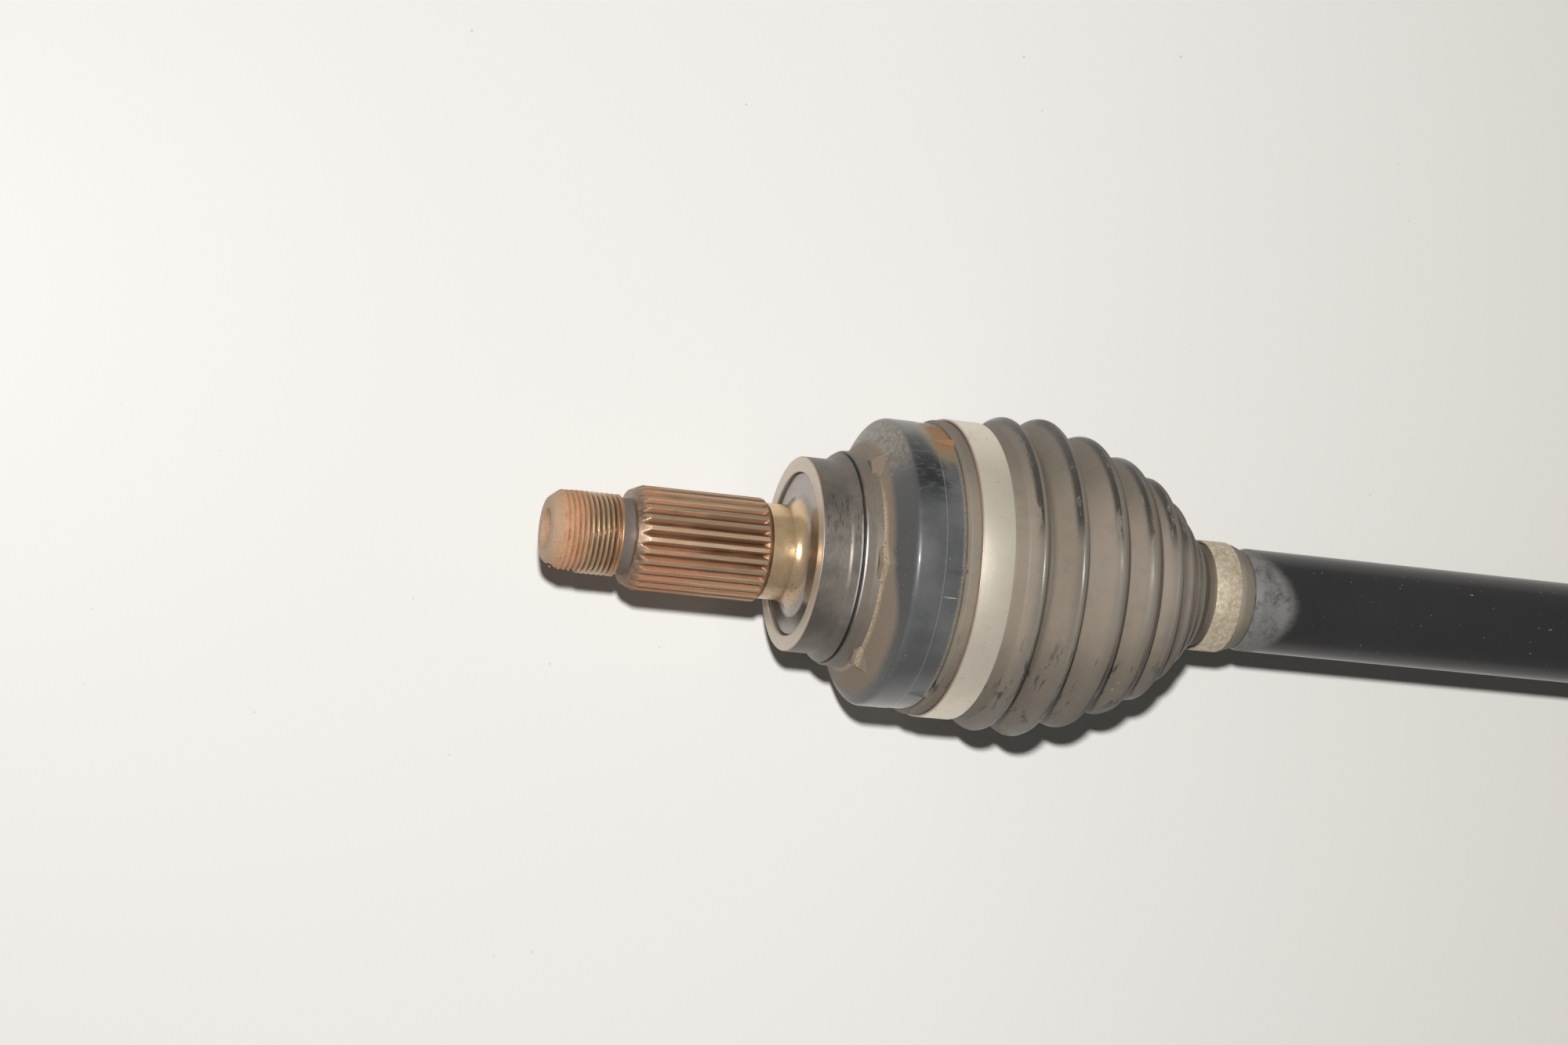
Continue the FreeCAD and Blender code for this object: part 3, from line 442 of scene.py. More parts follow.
def writeBand(board, geometry, given):
    # a closed strip round the boot, and the crimped ear as a second strip bridging over it
    middle = given["Radius"] + given["Thickness"] / 2
    edge = board.node("GeometryNodeCurvePrimitiveQuadrilateral", {},
                      {"Width": given["Thickness"], "Height": given["Width"]})
    edge = board.node("GeometryNodeFilletCurve", {"mode": "POLY"},
                      {"Curve": edge, "Count": 3, "Radius": given["Thickness"] * 0.35})
    loop = board.node("GeometryNodeCurvePrimitiveCircle", {}, {"Resolution": 240, "Radius": middle})
    strip = board.node("GeometryNodeCurveToMesh", {}, {"Curve": loop, "Profile Curve": edge})
    earTurn = given["Ear width"] / middle
    arc = board.node("GeometryNodeCurveArc", {},
                     {"Resolution": 90, "Radius": middle, "Start Angle": earTurn * -0.9,
                      "Sweep Angle": earTurn * 1.8})
    x, y, z = board.position()
    offMiddle = abs(board.maths("ARCTAN2", y, x)) / earTurn
    lift = board.rise(offMiddle, 0.52, 0.36) * given["Ear height"]
    dimple = board.rise(offMiddle, 0.22, 0.0) * given["Ear height"] * 0.3
    share = 1 + (lift + given["Thickness"] * 0.5 - dimple) / middle
    arc = board.moved(arc, x * share, y * share, z)
    ear = board.node("GeometryNodeCurveToMesh", {},
                     {"Curve": arc, "Profile Curve": edge, "Fill Caps": True})
    made = board.node("GeometryNodeJoinGeometry")
    for part in (strip, ear):
        board.tree.links.new(part.socket, made.socket.node.inputs[0])
    # drawn flat round Z, then stood up so that its axis is the shaft's
    x, y, z = board.position()
    cosine = board.maths("COSINE", given["Ear turn"])
    sine = board.maths("SINE", given["Ear turn"])
    return board.moved(made, z + given["Centre"], x * cosine - y * sine, x * sine + y * cosine)


threadTree = ruleTree("threadRule", ["Radius", "Depth", "Pitch", "Start", "End", "Caked length"],
                      writeThread)
teethTree = ruleTree("teethRule", ["Teeth", "Root radius", "Depth", "Groove share", "Flank share",
                                   "Start", "End", "Fade end", "Fade length"], writeTeeth)
slotTree = ruleTree("slotRule", ["Radius", "Width", "Length", "Depth", "Start"], writeSlot)
lobesTree = ruleTree("lobesRule", ["Roller pitch", "Lobe radius", "Roof radius", "Core radius",
                                   "Start", "End"], writeLobes)
mouldedTree = ruleTree("mouldedRule", ["Waves", "Seam turn", "Seam width", "Seam height"], writeMoulded)
bandTree = ruleTree("bandRule", ["Radius", "Width", "Thickness", "Centre", "Ear height", "Ear width",
                                 "Ear turn"], writeBand)
print("rules written")


# Finishes of the wheel end

# the two ends of each zone in mm, from its first end to its second: along from the tip in the stub's
# finishes and from the seat in the rim's and the bell's; out from the axis for threadRoot, dish, neck,
# seat, seatLip and seatEdge
zones = {"caked": (13.5, 7.0), "tarnish": (15.5, 19.5), "threadRoot": (11.6, 11.05),
         "firstRoot": (3.6, 4.6), "lastRoot": (20.6, 20.1), "face": (4.4, 0.2), "dish": (9.0, 5.6),
         "dishFloor": (8.0, 7.0), "relief": (20.7, 26.0), "grooves": (24.9, 25.3),
         "redSpline": (56.0, 28.0), "lead": (27.0, 25.2), "neck": (17.2, 14.8), "seat": (24.0, 24.4),
         "seatLip": (23.95, 24.25), "seatEdge": (28.5, 28.9), "rib": (12.4, 13.0),
         "rustyRib": (12.6, 13.6), "rimEdge": (11.1, 11.35), "ribEdge": (12.4, 12.65),
         "seam": (11.6, 12.15), "slopeEnd": (24.6, 23.6), "brownEnd": (20.4, 18.8),
         "corner": (16.9, 18.2), "shoulder": (23.5, 25.5), "patchy": (36.0, 31.0),
         "step": (32.6, 32.95), "collar": (37.8, 39.2), "dashes": (31.0, 38.0),
         "dashesLow": (-16.0, -8.0)}


def threadSteel():
    f = Finish("threadSteel")
    fromTip = f.x - tipX
    broad = f.noise(0.3, 5.0, 0.6, 0.3, stretch=(1.6, 0.5, 0.5))
    fine = f.noise(1.2, 6.0, 0.65)
    grain = f.noise(4.5, 3.0, 0.6)
    # light orange rust cakes the first turns, the rest is tan metal
    caked = f.zone(fromTip + (broad - 0.5) * 8.0, "caked")
    rust = f.colours(fine, (176, 122, 88), (230, 184, 146))
    rust = f.colours(f.rise(broad, 0.5, 0.72) * 0.5, rust, (192, 124, 76))
    gold = f.rise(f.noise(0.7, 3.0, 0.6), 0.62, 0.7)
    rust = f.colours(gold * 0.5, rust, (216, 160, 84))
    metalTone = f.colours(broad, (166, 136, 106), (218, 194, 162))
    metalTone = f.colours(f.zone(fromTip, "tarnish") * 0.5, metalTone, (156, 98, 62))
    f.colour = f.colours(caked, metalTone, rust)
    # the roots between the crests are painted dark: painted shade
    rootShade = f.zone(f.radius, "threadRoot") * f.zone(fromTip, "firstRoot") * f.zone(fromTip, "lastRoot")
    f.lay(rootShade * (0.8 - caked * 0.4), (74, 50, 36))
    # the face is paler and goes over softly into a brown bloom in the centre hole
    face = f.zone(fromTip + (fine - 0.5) * 1.6, "face")
    faceTone = f.colours(fine, (164, 140, 116), (204, 182, 156))
    f.lay(face * 0.75, faceTone)
    dish = f.zone(f.radius + broad * 3.0 + fine * 1.5, "dish") * f.zone(fromTip, "dishFloor")
    f.lay(dish * 0.85, f.colours(grain, (118, 78, 56), (178, 126, 94)))
    relief = f.band(fromTip, *zones["relief"], 0.25)
    f.lay(relief, f.colours(fine, (136, 126, 124), (168, 158, 152)))
    shine = (1 - caked) * (1 - face)
    rough = 0.62 - shine * 0.28 + grain * 0.12 - face * 0.1 - relief * 0.2
    metal = shine * (0.7 - relief * 0.3)
    return f.surface(rough, metal, grain * 0.06 + fine * caked * 0.22, 0.75)


def splineSteel():
    f = Finish("splineSteel")
    fromTip = f.x - tipX
    broad = f.noise(0.2, 5.0, 0.6, 0.4, stretch=(0.3, 1.0, 1.0))
    streaks = f.noise(0.7, 5.0, 0.65, stretch=(0.16, 2.2, 2.2))
    fine = f.noise(1.3, 6.0, 0.65)
    grain = f.noise(4.5, 3.0, 0.6)
    # how deep a point lies under the teeth's tips, as a share of the grooves' depth
    tips = f.least(15.4, 13.8 + (fromTip - 23.9) * 0.444)
    deep = (tips - f.radius) / (tips - 14.2) * f.zone(fromTip, "grooves")
    land = f.rise(deep, 0.22, 0.06)
    low = f.rise(f.y, 4.0, -14.0)
    # rust is reddest near the thread and on the lower side, tan metal shows towards the neck
    amount = broad * 0.7 + streaks * 0.5 + f.zone(fromTip, "redSpline") * 0.2 + low * 0.16 - land * 0.1
    rust = f.rise(amount, 0.62, 0.92)
    steel = f.colours(streaks, (152, 128, 104), (204, 180, 150))
    steel = f.colours(f.rise(fine, 0.55, 0.75) * 0.5, steel, (124, 110, 98))
    flank = f.colours(streaks, (124, 92, 70), (172, 130, 100))
    steel = f.colours(land, flank, steel)
    rustTone = f.colours(f.rise(grain, 0.3, 0.7), (142, 92, 64), (202, 142, 104))
    f.colour = f.colours(rust * 0.7, steel, rustTone)
    # the bottoms of the grooves are painted dark: painted shade
    rootShade = f.rise(deep, 0.55, 0.95)
    f.lay(rootShade * 0.75, (62, 44, 34))
    # a bare shoulder, brown and smooth, scraped bright where the grooves run out
    shoulder = f.zone(fromTip, "lead")
    shoulderTone = f.colours(f.rise(streaks, 0.45, 0.65), (112, 94, 82), (150, 132, 118))
    f.lay(shoulder * 0.7 * (1 - rootShade), shoulderTone)
    metal = 0.8 - rust * 0.55
    rough = 0.36 + rust * 0.24 + grain * 0.1 - shoulder * 0.06
    return f.surface(rough, metal, grain * 0.05 + fine * rust * 0.12, 0.7)


def seatSteel():
    # the bare neck is gold with tarnish, then a mirror-like recess, then the paler ring at the bearing
    f = Finish("seatSteel")
    lines = f.noise(3.2, 3.0, 0.6, stretch=(1.0, 0.02, 0.02))
    rings = f.noise(0.5, 4.0, 0.6, stretch=(0.1, 1.0, 1.0))
    blotch = f.noise(0.35, 4.0, 0.6)
    low = f.rise(f.y, 2.0, -12.0)
    neck = f.zone(f.radius + (blotch - 0.5) * 2.0, "neck")
    gold = f.colours(blotch, (208, 174, 132), (238, 212, 174))
    gold = f.colours(low * 0.5, gold, (158, 140, 122))
    specks = f.rise(f.noise(1.9, 3.0, 0.6) + low * 0.05, 0.66, 0.7) * neck
    outerRing = f.zone(f.radius, "seat")
    worn = f.colours(rings, (128, 121, 116), (164, 155, 148))
    land = f.colours(rings, (196, 184, 168), (214, 203, 190))
    f.colour = f.colours(neck, f.colours(outerRing, worn, land), gold)
    f.lay(specks * 0.8, (66, 52, 42))
    # a thin dark line on the recess's step wall: painted shade
    lip = f.band(f.radius, *zones["seatLip"], 0.12)
    f.lay(lip * 0.6, (84, 72, 60))
    edge = f.zone(f.radius, "seatEdge")
    f.lay(edge * 0.6, (178, 140, 122))
    circles = f.maths("SINE", f.radius * 16.0)
    height = circles * 0.003 * outerRing + rings * 0.01 + lines * neck * 0.02 - specks * 0.03
    rough = 0.2 + outerRing * 0.2 + blotch * 0.08 + specks * 0.3
    return f.surface(rough, 0.92 - outerRing * 0.27, height)


def scuffedRim():
    f = Finish("scuffedRim")
    s = f.x - seatX
    up = f.y / f.radius
    around = f.noise(0.9, 6.0, 0.7, stretch=(2.6, 0.35, 0.35))
    fine = f.noise(2.4, 4.0, 0.65)
    cloud = f.noise(0.07, 4.0, 0.6)
    film = f.rise(cloud + (around - 0.5) * 0.5, 0.3, 0.75)
    f.colour = f.colours(film, (106, 101, 96), (142, 135, 127))
    # darker towards the top and bottom sides: painted shade
    f.lay(f.rise(abs(up), 0.4, 0.95) * 0.35, (84, 76, 68))
    # short dark scratches run round the rim, mostly above its middle
    scratches = f.rise(around + f.rise(abs(up - 0.35), 0.6, 0.0) * 0.1, 0.6, 0.7)
    f.lay(scratches * 0.65, (52, 47, 43))
    # pale specks as painted glints
    paintedSparkle = f.rise(fine, 0.66, 0.74)
    f.lay(paintedSparkle * 0.35, (184, 178, 168))
    # dark oil in the seam, thin painted highlights on the edges beside it, and a film of dust on the rib
    rib = f.zone(s, "rib")
    f.lay(rib * 0.6, f.colours(fine, (112, 103, 92), (134, 124, 111)))
    rusty = f.rise(f.noise(0.12, 3.0, 0.5), 0.52, 0.62) * f.band(s, *zones["rustyRib"], 0.3)
    f.lay(rusty * 0.6, (150, 100, 66))
    # thin painted highlights on the edges beside the seam, at mid height only
    edgeGlints = f.band(s, *zones["rimEdge"], 0.08) + f.band(s, *zones["ribEdge"], 0.08)
    edgeGlints = edgeGlints * f.rise(up, 0.5, 0.2) * f.rise(up, -0.6, -0.3)
    f.lay(edgeGlints * 0.8, (226, 226, 224))
    seam = f.band(s, *zones["seam"], 0.1)
    f.lay(seam * 0.9, (38, 34, 30))
    return f.surface(0.4 + film * 0.08 + seam * 0.2 + rib * 0.1, 0.6 - rib * 0.45,
                     around * 0.035 + fine * 0.012, 0.6)


def bellPaint():
    f = Finish("bellPaint")
    s = f.x - seatX
    up = f.y / f.radius
    cloud = f.noise(0.05, 4.0, 0.55)
    fine = f.noise(1.4, 6.0, 0.7)
    grains = f.noise(3.2, 2.0, 0.5)
    # on the slope up to the shoulder: sand in the corner, a brown strip that widens low down, darker paint
    edge = s + (cloud - 0.5) * 0.8
    slope = f.zone(edge, "slopeEnd")
    wider = f.rise(up, 0.1, -0.5) * 2.6
    brown = f.zone(edge - wider, "brownEnd") * slope
    sand = f.band(s + (fine - 0.5) * 0.9, *zones["corner"], 0.35) * f.rise(up, 0.8, 0.4)
    sand = sand * f.rise(grains, 0.36, 0.6)
    film = f.rise(cloud + (fine - 0.5) * 0.12, 0.3, 0.7)
    across = f.noise(0.5, 6.0, 0.75, 0.4, stretch=(0.5, 1.3, 1.3))
    scuffs = f.rise(across, 0.5, 0.62)
    dark = f.rise(up, 0.35, 0.62) * f.rise(up, 0.97, 0.86) * f.zone(s, "shoulder")
    patchy = f.zone(s + (across - 0.5) * 14.0, "patchy")
    f.colour = f.colours(film, (80, 82, 85), (106, 107, 108))
    f.lay(dark * patchy * (1 - scuffs * 0.5), (28, 31, 35))
    low = f.rise(up, -0.3, -0.8)
    f.lay(low * 0.4 * f.rise(s, 25.0, 22.0), (128, 124, 118))
    high = f.rise(up, 0.6, 0.9)
    highTone = f.colours(f.rise(across, 0.4, 0.6), (112, 104, 94), (150, 142, 130))
    slopeTone = f.colours(high, (76, 76, 77), highTone)
    f.lay(slope * 0.9, slopeTone)
    f.lay(brown * 0.9, f.colours(fine, (122, 108, 94), (148, 132, 115)))
    f.lay(sand * 0.9, f.colours(fine, (166, 144, 114), (226, 204, 168)))
    # worn paint along the top, where the light skims
    crown = f.rise(up, 0.86, 0.96) * f.rise(s, 23.0, 26.0)
    f.lay(crown * f.rise(across, 0.4, 0.55) * 0.6, (124, 114, 102))
    # a thin painted highlight along the step, and dust where the paint meets the boot
    step = f.band(s, *zones["step"], 0.12)
    f.lay(step * 0.4, (158, 158, 156))
    collar = f.band(s, *zones["collar"], 0.4)
    f.lay(collar * 0.7 * f.rise(fine, 0.3, 0.55), (146, 136, 120))
    # a patch where the paint has gone, high on the bell beside the boot's rim
    offPatch = f.maths("SQRT", (s - 36.4) * (s - 36.4) * 0.5 + (f.y - 38.0) * (f.y - 38.0) * 0.14 +
                       (f.z - 17.0) * (f.z - 17.0) * 0.05)
    ragged = offPatch + (fine - 0.5) * 3.0 + (across - 0.5) * 5.0
    f.lay(f.rise(ragged, 5.2, 3.4) * 0.8, (128, 118, 84))
    patch = f.rise(ragged, 4.0, 1.6)
    f.lay(patch, f.colours(fine, (128, 90, 58), (184, 140, 98)))
    # scraped dashes below the middle and a few pale dots
    dashes = f.rise(f.noise(0.9, 2.0, 0.5, stretch=(0.12, 1.6, 1.6)), 0.68, 0.72)
    dashes = dashes * f.band(f.y, *zones["dashesLow"], 2.0) * f.band(s, *zones["dashes"], 1.0)
    dots = f.rise(f.noise(2.4, 1.0, 0.5), 0.765, 0.79)
    f.lay(f.most(dots * 0.8, dashes), (222, 217, 206))
    dust = f.most(f.most(brown, sand), patch)
    rough = 0.27 + film * 0.1 + slope * 0.12 + dust * 0.25 + crown * 0.1
    height = fine * dust * 0.08 + sand * grains * 0.1 - patch * 0.05 + cloud * 0.25
    height = height - scuffs * dark * 0.03
    coat = (1 - dust) * (0.4 - slope * 0.25)
    return f.surface(rough, 0.0, height, 0.7, coat=coat, Coat_Roughness=0.1)


def oiledSteel(name, low, high, rough, metal=0.95, scale=0.35):
    # ground steel under a film of grease, for the pieces inside the joints
    f = Finish(name)
    cloud = f.noise(scale, 5.0, 0.6)
    lines = f.noise(1.3, 4.0, 0.6, stretch=(2.2, 0.4, 0.4))
    film = f.rise(f.noise(0.09, 3.0, 0.6), 0.45, 0.7)
    f.colour = f.colours(cloud, low, high)
    f.lay(film * 0.35, (96, 74, 44))
    return f.surface(rough + lines * 0.14 + film * 0.1, metal, lines * 0.015 + cloud * 0.01)


cavitySteel = oiledSteel("cavitySteel", (104, 100, 94), (158, 152, 142), 0.28)
print("wheel end finishes made")


# Wheel end: threaded stub, splined stub, then the bell with its ball tracks

stub = {"threadRadius": 12.0, "threadDepth": 0.92, "pitch": 1.5, "threadLength": 20.5, "tipRadius": 9.2,
        "tipLength": 3.6, "cakedLength": 8.0, "reliefRadius": 11.2, "reliefLength": 3.4,
        "leadRadius": 13.8, "leadLength": 3.6, "splineRadius": 15.4, "rootRadius": 14.3,
        "splineLength": 36.1, "tailLength": 1.4, "teeth": 28, "grooveShare": 0.08, "flankShare": 0.58,
        "fadeLength": 1.8, "neckRadius": 14.2, "slotWidth": 6.0, "slotDepth": 2.0, "slotLength": 9.0,
        "holeRadius": 6.0, "holeFloor": 1.96, "holeDepth": 7.0, "overlap": 1.5, "tailEnd": 0.6,
        "threadSteps": 240, "ringsPerTurn": 9, "stepsPerTooth": 12}

threadEnd = tipX + stub["threadLength"]
leadStart = threadEnd + stub["reliefLength"]
splineStart = leadStart + stub["leadLength"]
splineEnd = splineStart + stub["splineLength"]
neckStart = splineEnd + stub["tailLength"]
aroundStub = stub["teeth"] * stub["stepsPerTooth"]

threadLine = roundOff([
    (tipX + stub["holeDepth"], 0),
    (tipX + stub["holeDepth"], stub["holeFloor"]),
    (tipX, stub["holeRadius"], 0.6),
    (tipX, stub["tipRadius"], 1.2),
    (tipX + stub["tipLength"], stub["threadRadius"], 3.0),
    (threadEnd, stub["threadRadius"]),
    (threadEnd + stub["threadRadius"] - stub["reliefRadius"], stub["reliefRadius"]),
    (leadStart + stub["overlap"], stub["reliefRadius"]),
    (leadStart + stub["overlap"], 0),
])
threadLine = dense(threadLine, tipX + 0.01, threadEnd, stub["pitch"] / stub["ringsPerTurn"])
threadedStub = turnedMesh("threadedStub", threadLine, stub["threadSteps"])
threadFinish = threadSteel()
shapedBy(threadedStub, threadTree, threadFinish, Radius=stub["threadRadius"],
         Depth=stub["threadDepth"], Pitch=stub["pitch"], Start=tipX, End=threadEnd,
         Caked_length=stub["cakedLength"])
shapedBy(threadedStub, slotTree, threadFinish, Radius=stub["threadRadius"],
         Width=stub["slotWidth"], Length=stub["slotLength"], Depth=stub["slotDepth"],
         Start=tipX)
smoothed(threadedStub, 45)
dressed(threadedStub, "outer_housing", "forged_stub")

splineLine = roundOff([
    (leadStart, 0),
    (leadStart, stub["reliefRadius"] - 1.0),
    (leadStart, stub["leadRadius"], 0.5),
    (splineStart, stub["splineRadius"], 1.0),
    (splineEnd, stub["splineRadius"], 0.6),
    (neckStart, stub["neckRadius"] - 0.02),
    (neckStart + stub["tailEnd"], stub["neckRadius"] - 1.0),
    (neckStart + stub["tailEnd"], 0),
])
splineLine = dense(splineLine, leadStart + 0.01, splineStart + 0.6, 0.3)
splineLine = dense(splineLine, splineStart, splineEnd, 6.0)
splineLine = dense(splineLine, splineEnd - 6.0, neckStart, 0.4)
splinedStub = turnedMesh("splinedStub", splineLine, aroundStub)
shapedBy(splinedStub, teethTree, splineSteel(), Teeth=stub["teeth"], Root_radius=stub["rootRadius"],
         Depth=stub["splineRadius"] - stub["rootRadius"], Groove_share=stub["grooveShare"],
         Flank_share=stub["flankShare"], Start=leadStart - 1, End=neckStart + 2,
         Fade_end=splineEnd, Fade_length=stub["fadeLength"])
smoothed(splinedStub, 28)
dressed(splinedStub, "outer_housing", "forged_stub")
print("stub made")

bell = {"seatInner": 24.2, "seatOuter": 29.0, "recess": 1.0, "neckFillet": 6.0, "seatLength": 9.0,
        "ribRise": 3.8, "ribRadius": 32.0, "ribLength": 2.4, "seam": 0.6, "ribToBell": 1.8,
        "slopeFrom": 0.8, "slopeTo": 7.1, "radius": 43.1, "rounding": 2.4, "stepHeight": 0.15,
        "stepLength": 6.2, "bootSeatDepth": 1.3, "bootSeatLength": 18.9, "beadDepth": 0.9,
        "beadLength": 5.7, "beadFromMouth": 7.0, "mouthRadius": 34.0, "mouthEdge": 0.5, "flareDepth": 5.0,
        "cavityRadius": 32.3, "floorFromCentre": 24.0, "cavitySteps": 30, "ballPitch": 29.0,
        "trackRadius": 9.0, "balls": 6, "steps": 288}

recessX = seatX + bell["recess"]
ribStart = seatX + bell["seatLength"] + bell["ribRise"]
ribEnd = ribStart + bell["ribLength"]
bellStart = ribEnd + bell["ribToBell"]
bootStart = mouthX - bell["bootSeatLength"]
stepX = bootStart - bell["stepLength"]
seamX = ribStart - 2 * bell["seam"]
seamRadius = bell["ribRadius"] - 2 * bell["seam"]
bootSeat = bell["radius"] - bell["bootSeatDepth"]
beadEnd = mouthX - bell["beadFromMouth"]
beadStart = beadEnd - bell["beadLength"]


def bellMesh():
    rib, seam, step = bell["ribRadius"], bell["seam"], bell["stepHeight"]
    groove = bootSeat - bell["beadDepth"]
    outside = roundOff([
        (neckStart, 0),
        (neckStart, stub["neckRadius"]),
        (recessX, stub["neckRadius"], bell["neckFillet"]),
        (recessX, bell["seatInner"], 0.5),
        (seatX, bell["seatInner"], 0.5),
        (seatX, bell["seatOuter"], 0.5),
        (seatX + bell["seatLength"], bell["seatOuter"], 2.0),
        (seamX, seamRadius + seam, 0.5),
        (seamX, seamRadius),
        (seamX + seam, seamRadius),
        (seamX + seam, rib - seam / 2),
        (ribStart, rib, 0.6),
        (ribEnd, rib, 0.6),
        (bellStart + bell["slopeFrom"], rib + seam, 1.0),
        (bellStart + bell["slopeTo"], bell["radius"], bell["rounding"]),
        (stepX, bell["radius"], 0.1),
        (stepX + step, bell["radius"] - step, 0.1),
        (bootStart, bell["radius"] - step, 0.6),
        (bootStart, bootSeat),
        (beadStart, bootSeat),
        (beadStart, groove),
        (beadEnd, groove),
        (beadEnd, bootSeat),
        (mouthX, bootSeat, 1.0),
        (mouthX, bell["mouthRadius"] - bell["mouthEdge"]),
    ], 8)
    # the cavity: a cone at the mouth, then a ball shape down to a flat floor
    flare = mouthX - jointX - bell["flareDepth"]
    inside = []
    hollow, steps = bell["cavityRadius"], bell["cavitySteps"]
    first = math.acos(flare / hollow)
    last = math.acos(-bell["floorFromCentre"] / hollow)
    for k in range(steps + 1):
        turn = first + (last - first) * k / steps
        inside.append(Vector((jointX + hollow * math.cos(turn), hollow * math.sin(turn))))
    return outside, inside + [Vector((jointX - bell["floorFromCentre"], 0))]


def trackReach(cavityRows):
    # how far each cavity ring reaches out where a ball track crosses it
    pitch, track = bell["ballPitch"], bell["trackRadius"]

    def reach(x, radius, angles):
        around = np.full(len(angles), radius)
        if (round(x, 4), round(radius, 4)) not in cavityRows:
            return around
        turn = (angles * bell["balls"] / (2 * math.pi) + 0.5) % 1 - 0.5
        off = turn * 2 * math.pi / bell["balls"]
        fromCentre = x - jointX
        guess = np.full(len(angles), pitch + track)
        for _ in range(12):
            side = np.clip(track ** 2 - (guess * np.sin(off)) ** 2, 0, None)
            span = (pitch + np.sqrt(side)) ** 2 - fromCentre ** 2
            guess = np.where(side > 0, np.sqrt(np.clip(span, 0, None)) / np.cos(off), 0)
        return np.maximum(around, guess)
    return reach


outside, inside = bellMesh()
cavityRows = {(round(p.x, 4), round(p.y, 4)) for p in inside}
bellHousing = turnedMesh("bellHousing", outside + inside, bell["steps"], reach=trackReach(cavityRows))
bellFinishes = [seatSteel(), scuffedRim(), bellPaint(), cavitySteel]
for finish in bellFinishes:
    bellHousing.data.materials.append(finish)
# each ring of faces takes the finish of its place, counted from the neck to the mouth
for face in bellHousing.data.polygons:
    x, y, z = face.center / mm
    radius = math.hypot(y, z)
    onPaint = radius > bell["cavityRadius"] + 0.1 and x < bootStart
    onBootSeat = radius > bootSeat - 1.2 and x < mouthX - 0.2
    if x < seatX + 0.3 or radius < bell["seatInner"] + 0.1 and x < recessX + 0.5:
        face.material_index = 0
    elif x < bellStart - 0.6:
        face.material_index = 1
    elif onPaint or onBootSeat:
        face.material_index = 2
    else:
        face.material_index = 3
smoothed(bellHousing)
dressed(bellHousing, "outer_housing", "forged_stub", "outer_housing")
print("bell made")


# Boots

boots = {"wall": 1.0, "rimWall": 2.2, "neckRadius": 16.0, "neckWall": 1.25, "rimBead": 0.4,
         "neckBead": 0.5, "lip": 0.8, "neckOffset": 1.5, "neckLength": 13.5, "rimRounding": 1.5,
         "neckRounding": 1.2, "waves": 0.35, "seamHeight": 0.28, "seamWidth": 0.7, "seamTurn": -0.215,
         "steps": 200, "outerLength": 72.2, "outerRim": 18.2, "outerFromMouth": 0.7, "outerGap": 0.05,
         "innerLength": 57.0, "innerRim": 20.0, "innerFromMouth": 3.0, "innerGap": 0.25,
         "innerBeadFrom": 10.75, "innerBeadTo": 15.25, "splitValley": 4, "splitGap": 1.5}
bands = {"thickness": 0.8, "largeWidth": 10.4, "smallWidth": 8.5, "earHeight": 2.4, "earAngle": 225.0,
         "largeEar": 11.0, "smallEar": 8.0, "outerLift": 2.3, "innerLift": 2.7, "neckLift": 0.25}
# each fold as shares of the bellows: place, height, crest rounding, valley's place, its depth and rounding
outerFolds = [(0.062, 1.107, 0.0166, 0.36, 0.0720, 0.0166),
              (0.230, 1.132, 0.0194, 0.38, 0.0748, 0.0166),
              (0.425, 0.998, 0.0346, 0.40, 0.0637, 0.0166),
              (0.598, 0.822, 0.0443, 0.46, 0.0443, 0.0125),
              (0.738, 0.643, 0.0208, 0.46, 0.0249, 0.0111),
              (0.832, 0.432, 0.0166, 0.50, 0.0125, 0.0083),
              (0.889, 0.267, 0.0166, 0.50, 0.0125, 0.0083),
              (0.945, 0.105, 0.0166, 0.00, 0.0000, 0.0000)]
innerFolds = [(0.109, 1.161, 0.0228, 0.36, 0.0807, 0.0211),
              (0.307, 1.083, 0.0351, 0.38, 0.0807, 0.0211),
              (0.498, 0.859, 0.0421, 0.42, 0.0667, 0.0193),
              (0.684, 0.580, 0.0421, 0.45, 0.0491, 0.0175),
              (0.853, 0.286, 0.0316, 0.00, 0.0000, 0.0000)]


def foldCircles(crown, length, folds):
    # centre, rounding and side of every valley and crest, from the rim to the neck
    drop = crown - boots["neckRadius"]
    crests = []
    for along, height, rounding, place, sink, valley in folds:
        centre = Vector((along * length, boots["neckRadius"] + height * drop - rounding * length))
        crests.append((centre, rounding * length, place, Vector((0, sink * length)), valley * length))
    circles = [(Vector((0, crown + boots["rimRounding"])), boots["rimRounding"], -1)]
    for here, there in zip(crests, crests[1:] + [None]):
        centre, rounding, place, sink, valley = here
        circles.append((centre, rounding, 1))
        if there:
            circles.append((centre.lerp(there[0], place) - sink, valley, -1))
    centre = Vector((length, boots["neckRadius"] + boots["neckRounding"]))
    return circles + [(centre, boots["neckRounding"], -1)]


def flankAngles(circles):
    angles = [90.0]
    for (here, a, side), (there, b, _) in zip(circles, circles[1:]):
        step = there - here
        lean = math.degrees(math.acos(side * (a + b) / step.length))
        angles.append((math.degrees(math.atan2(step.y, step.x)) + lean + 90) % 360 - 90)
    return angles + [90.0]


def foldLine(circles, angles, inset, arcStep, first, last):
    # the wavy line from one circle to another; a line that stops at an inner valley ends half way round it
    line = []
    for i in range(first, last + 1):
        centre, rounding, side = circles[i]
        radius = (rounding - side * inset) * side
        middle = (angles[i] + angles[i + 1]) / 2
        start = middle if i == first and first > 0 else angles[i]
        end = middle if i == last and last < len(circles) - 1 else angles[i + 1]
        steps = max(2, math.ceil(abs(end - start) / arcStep))
        for k in range(steps + 1):
            turn = math.radians(start + (end - start) * k / steps)
            line.append(centre + Vector((math.cos(turn), math.sin(turn))) * radius)
    return line


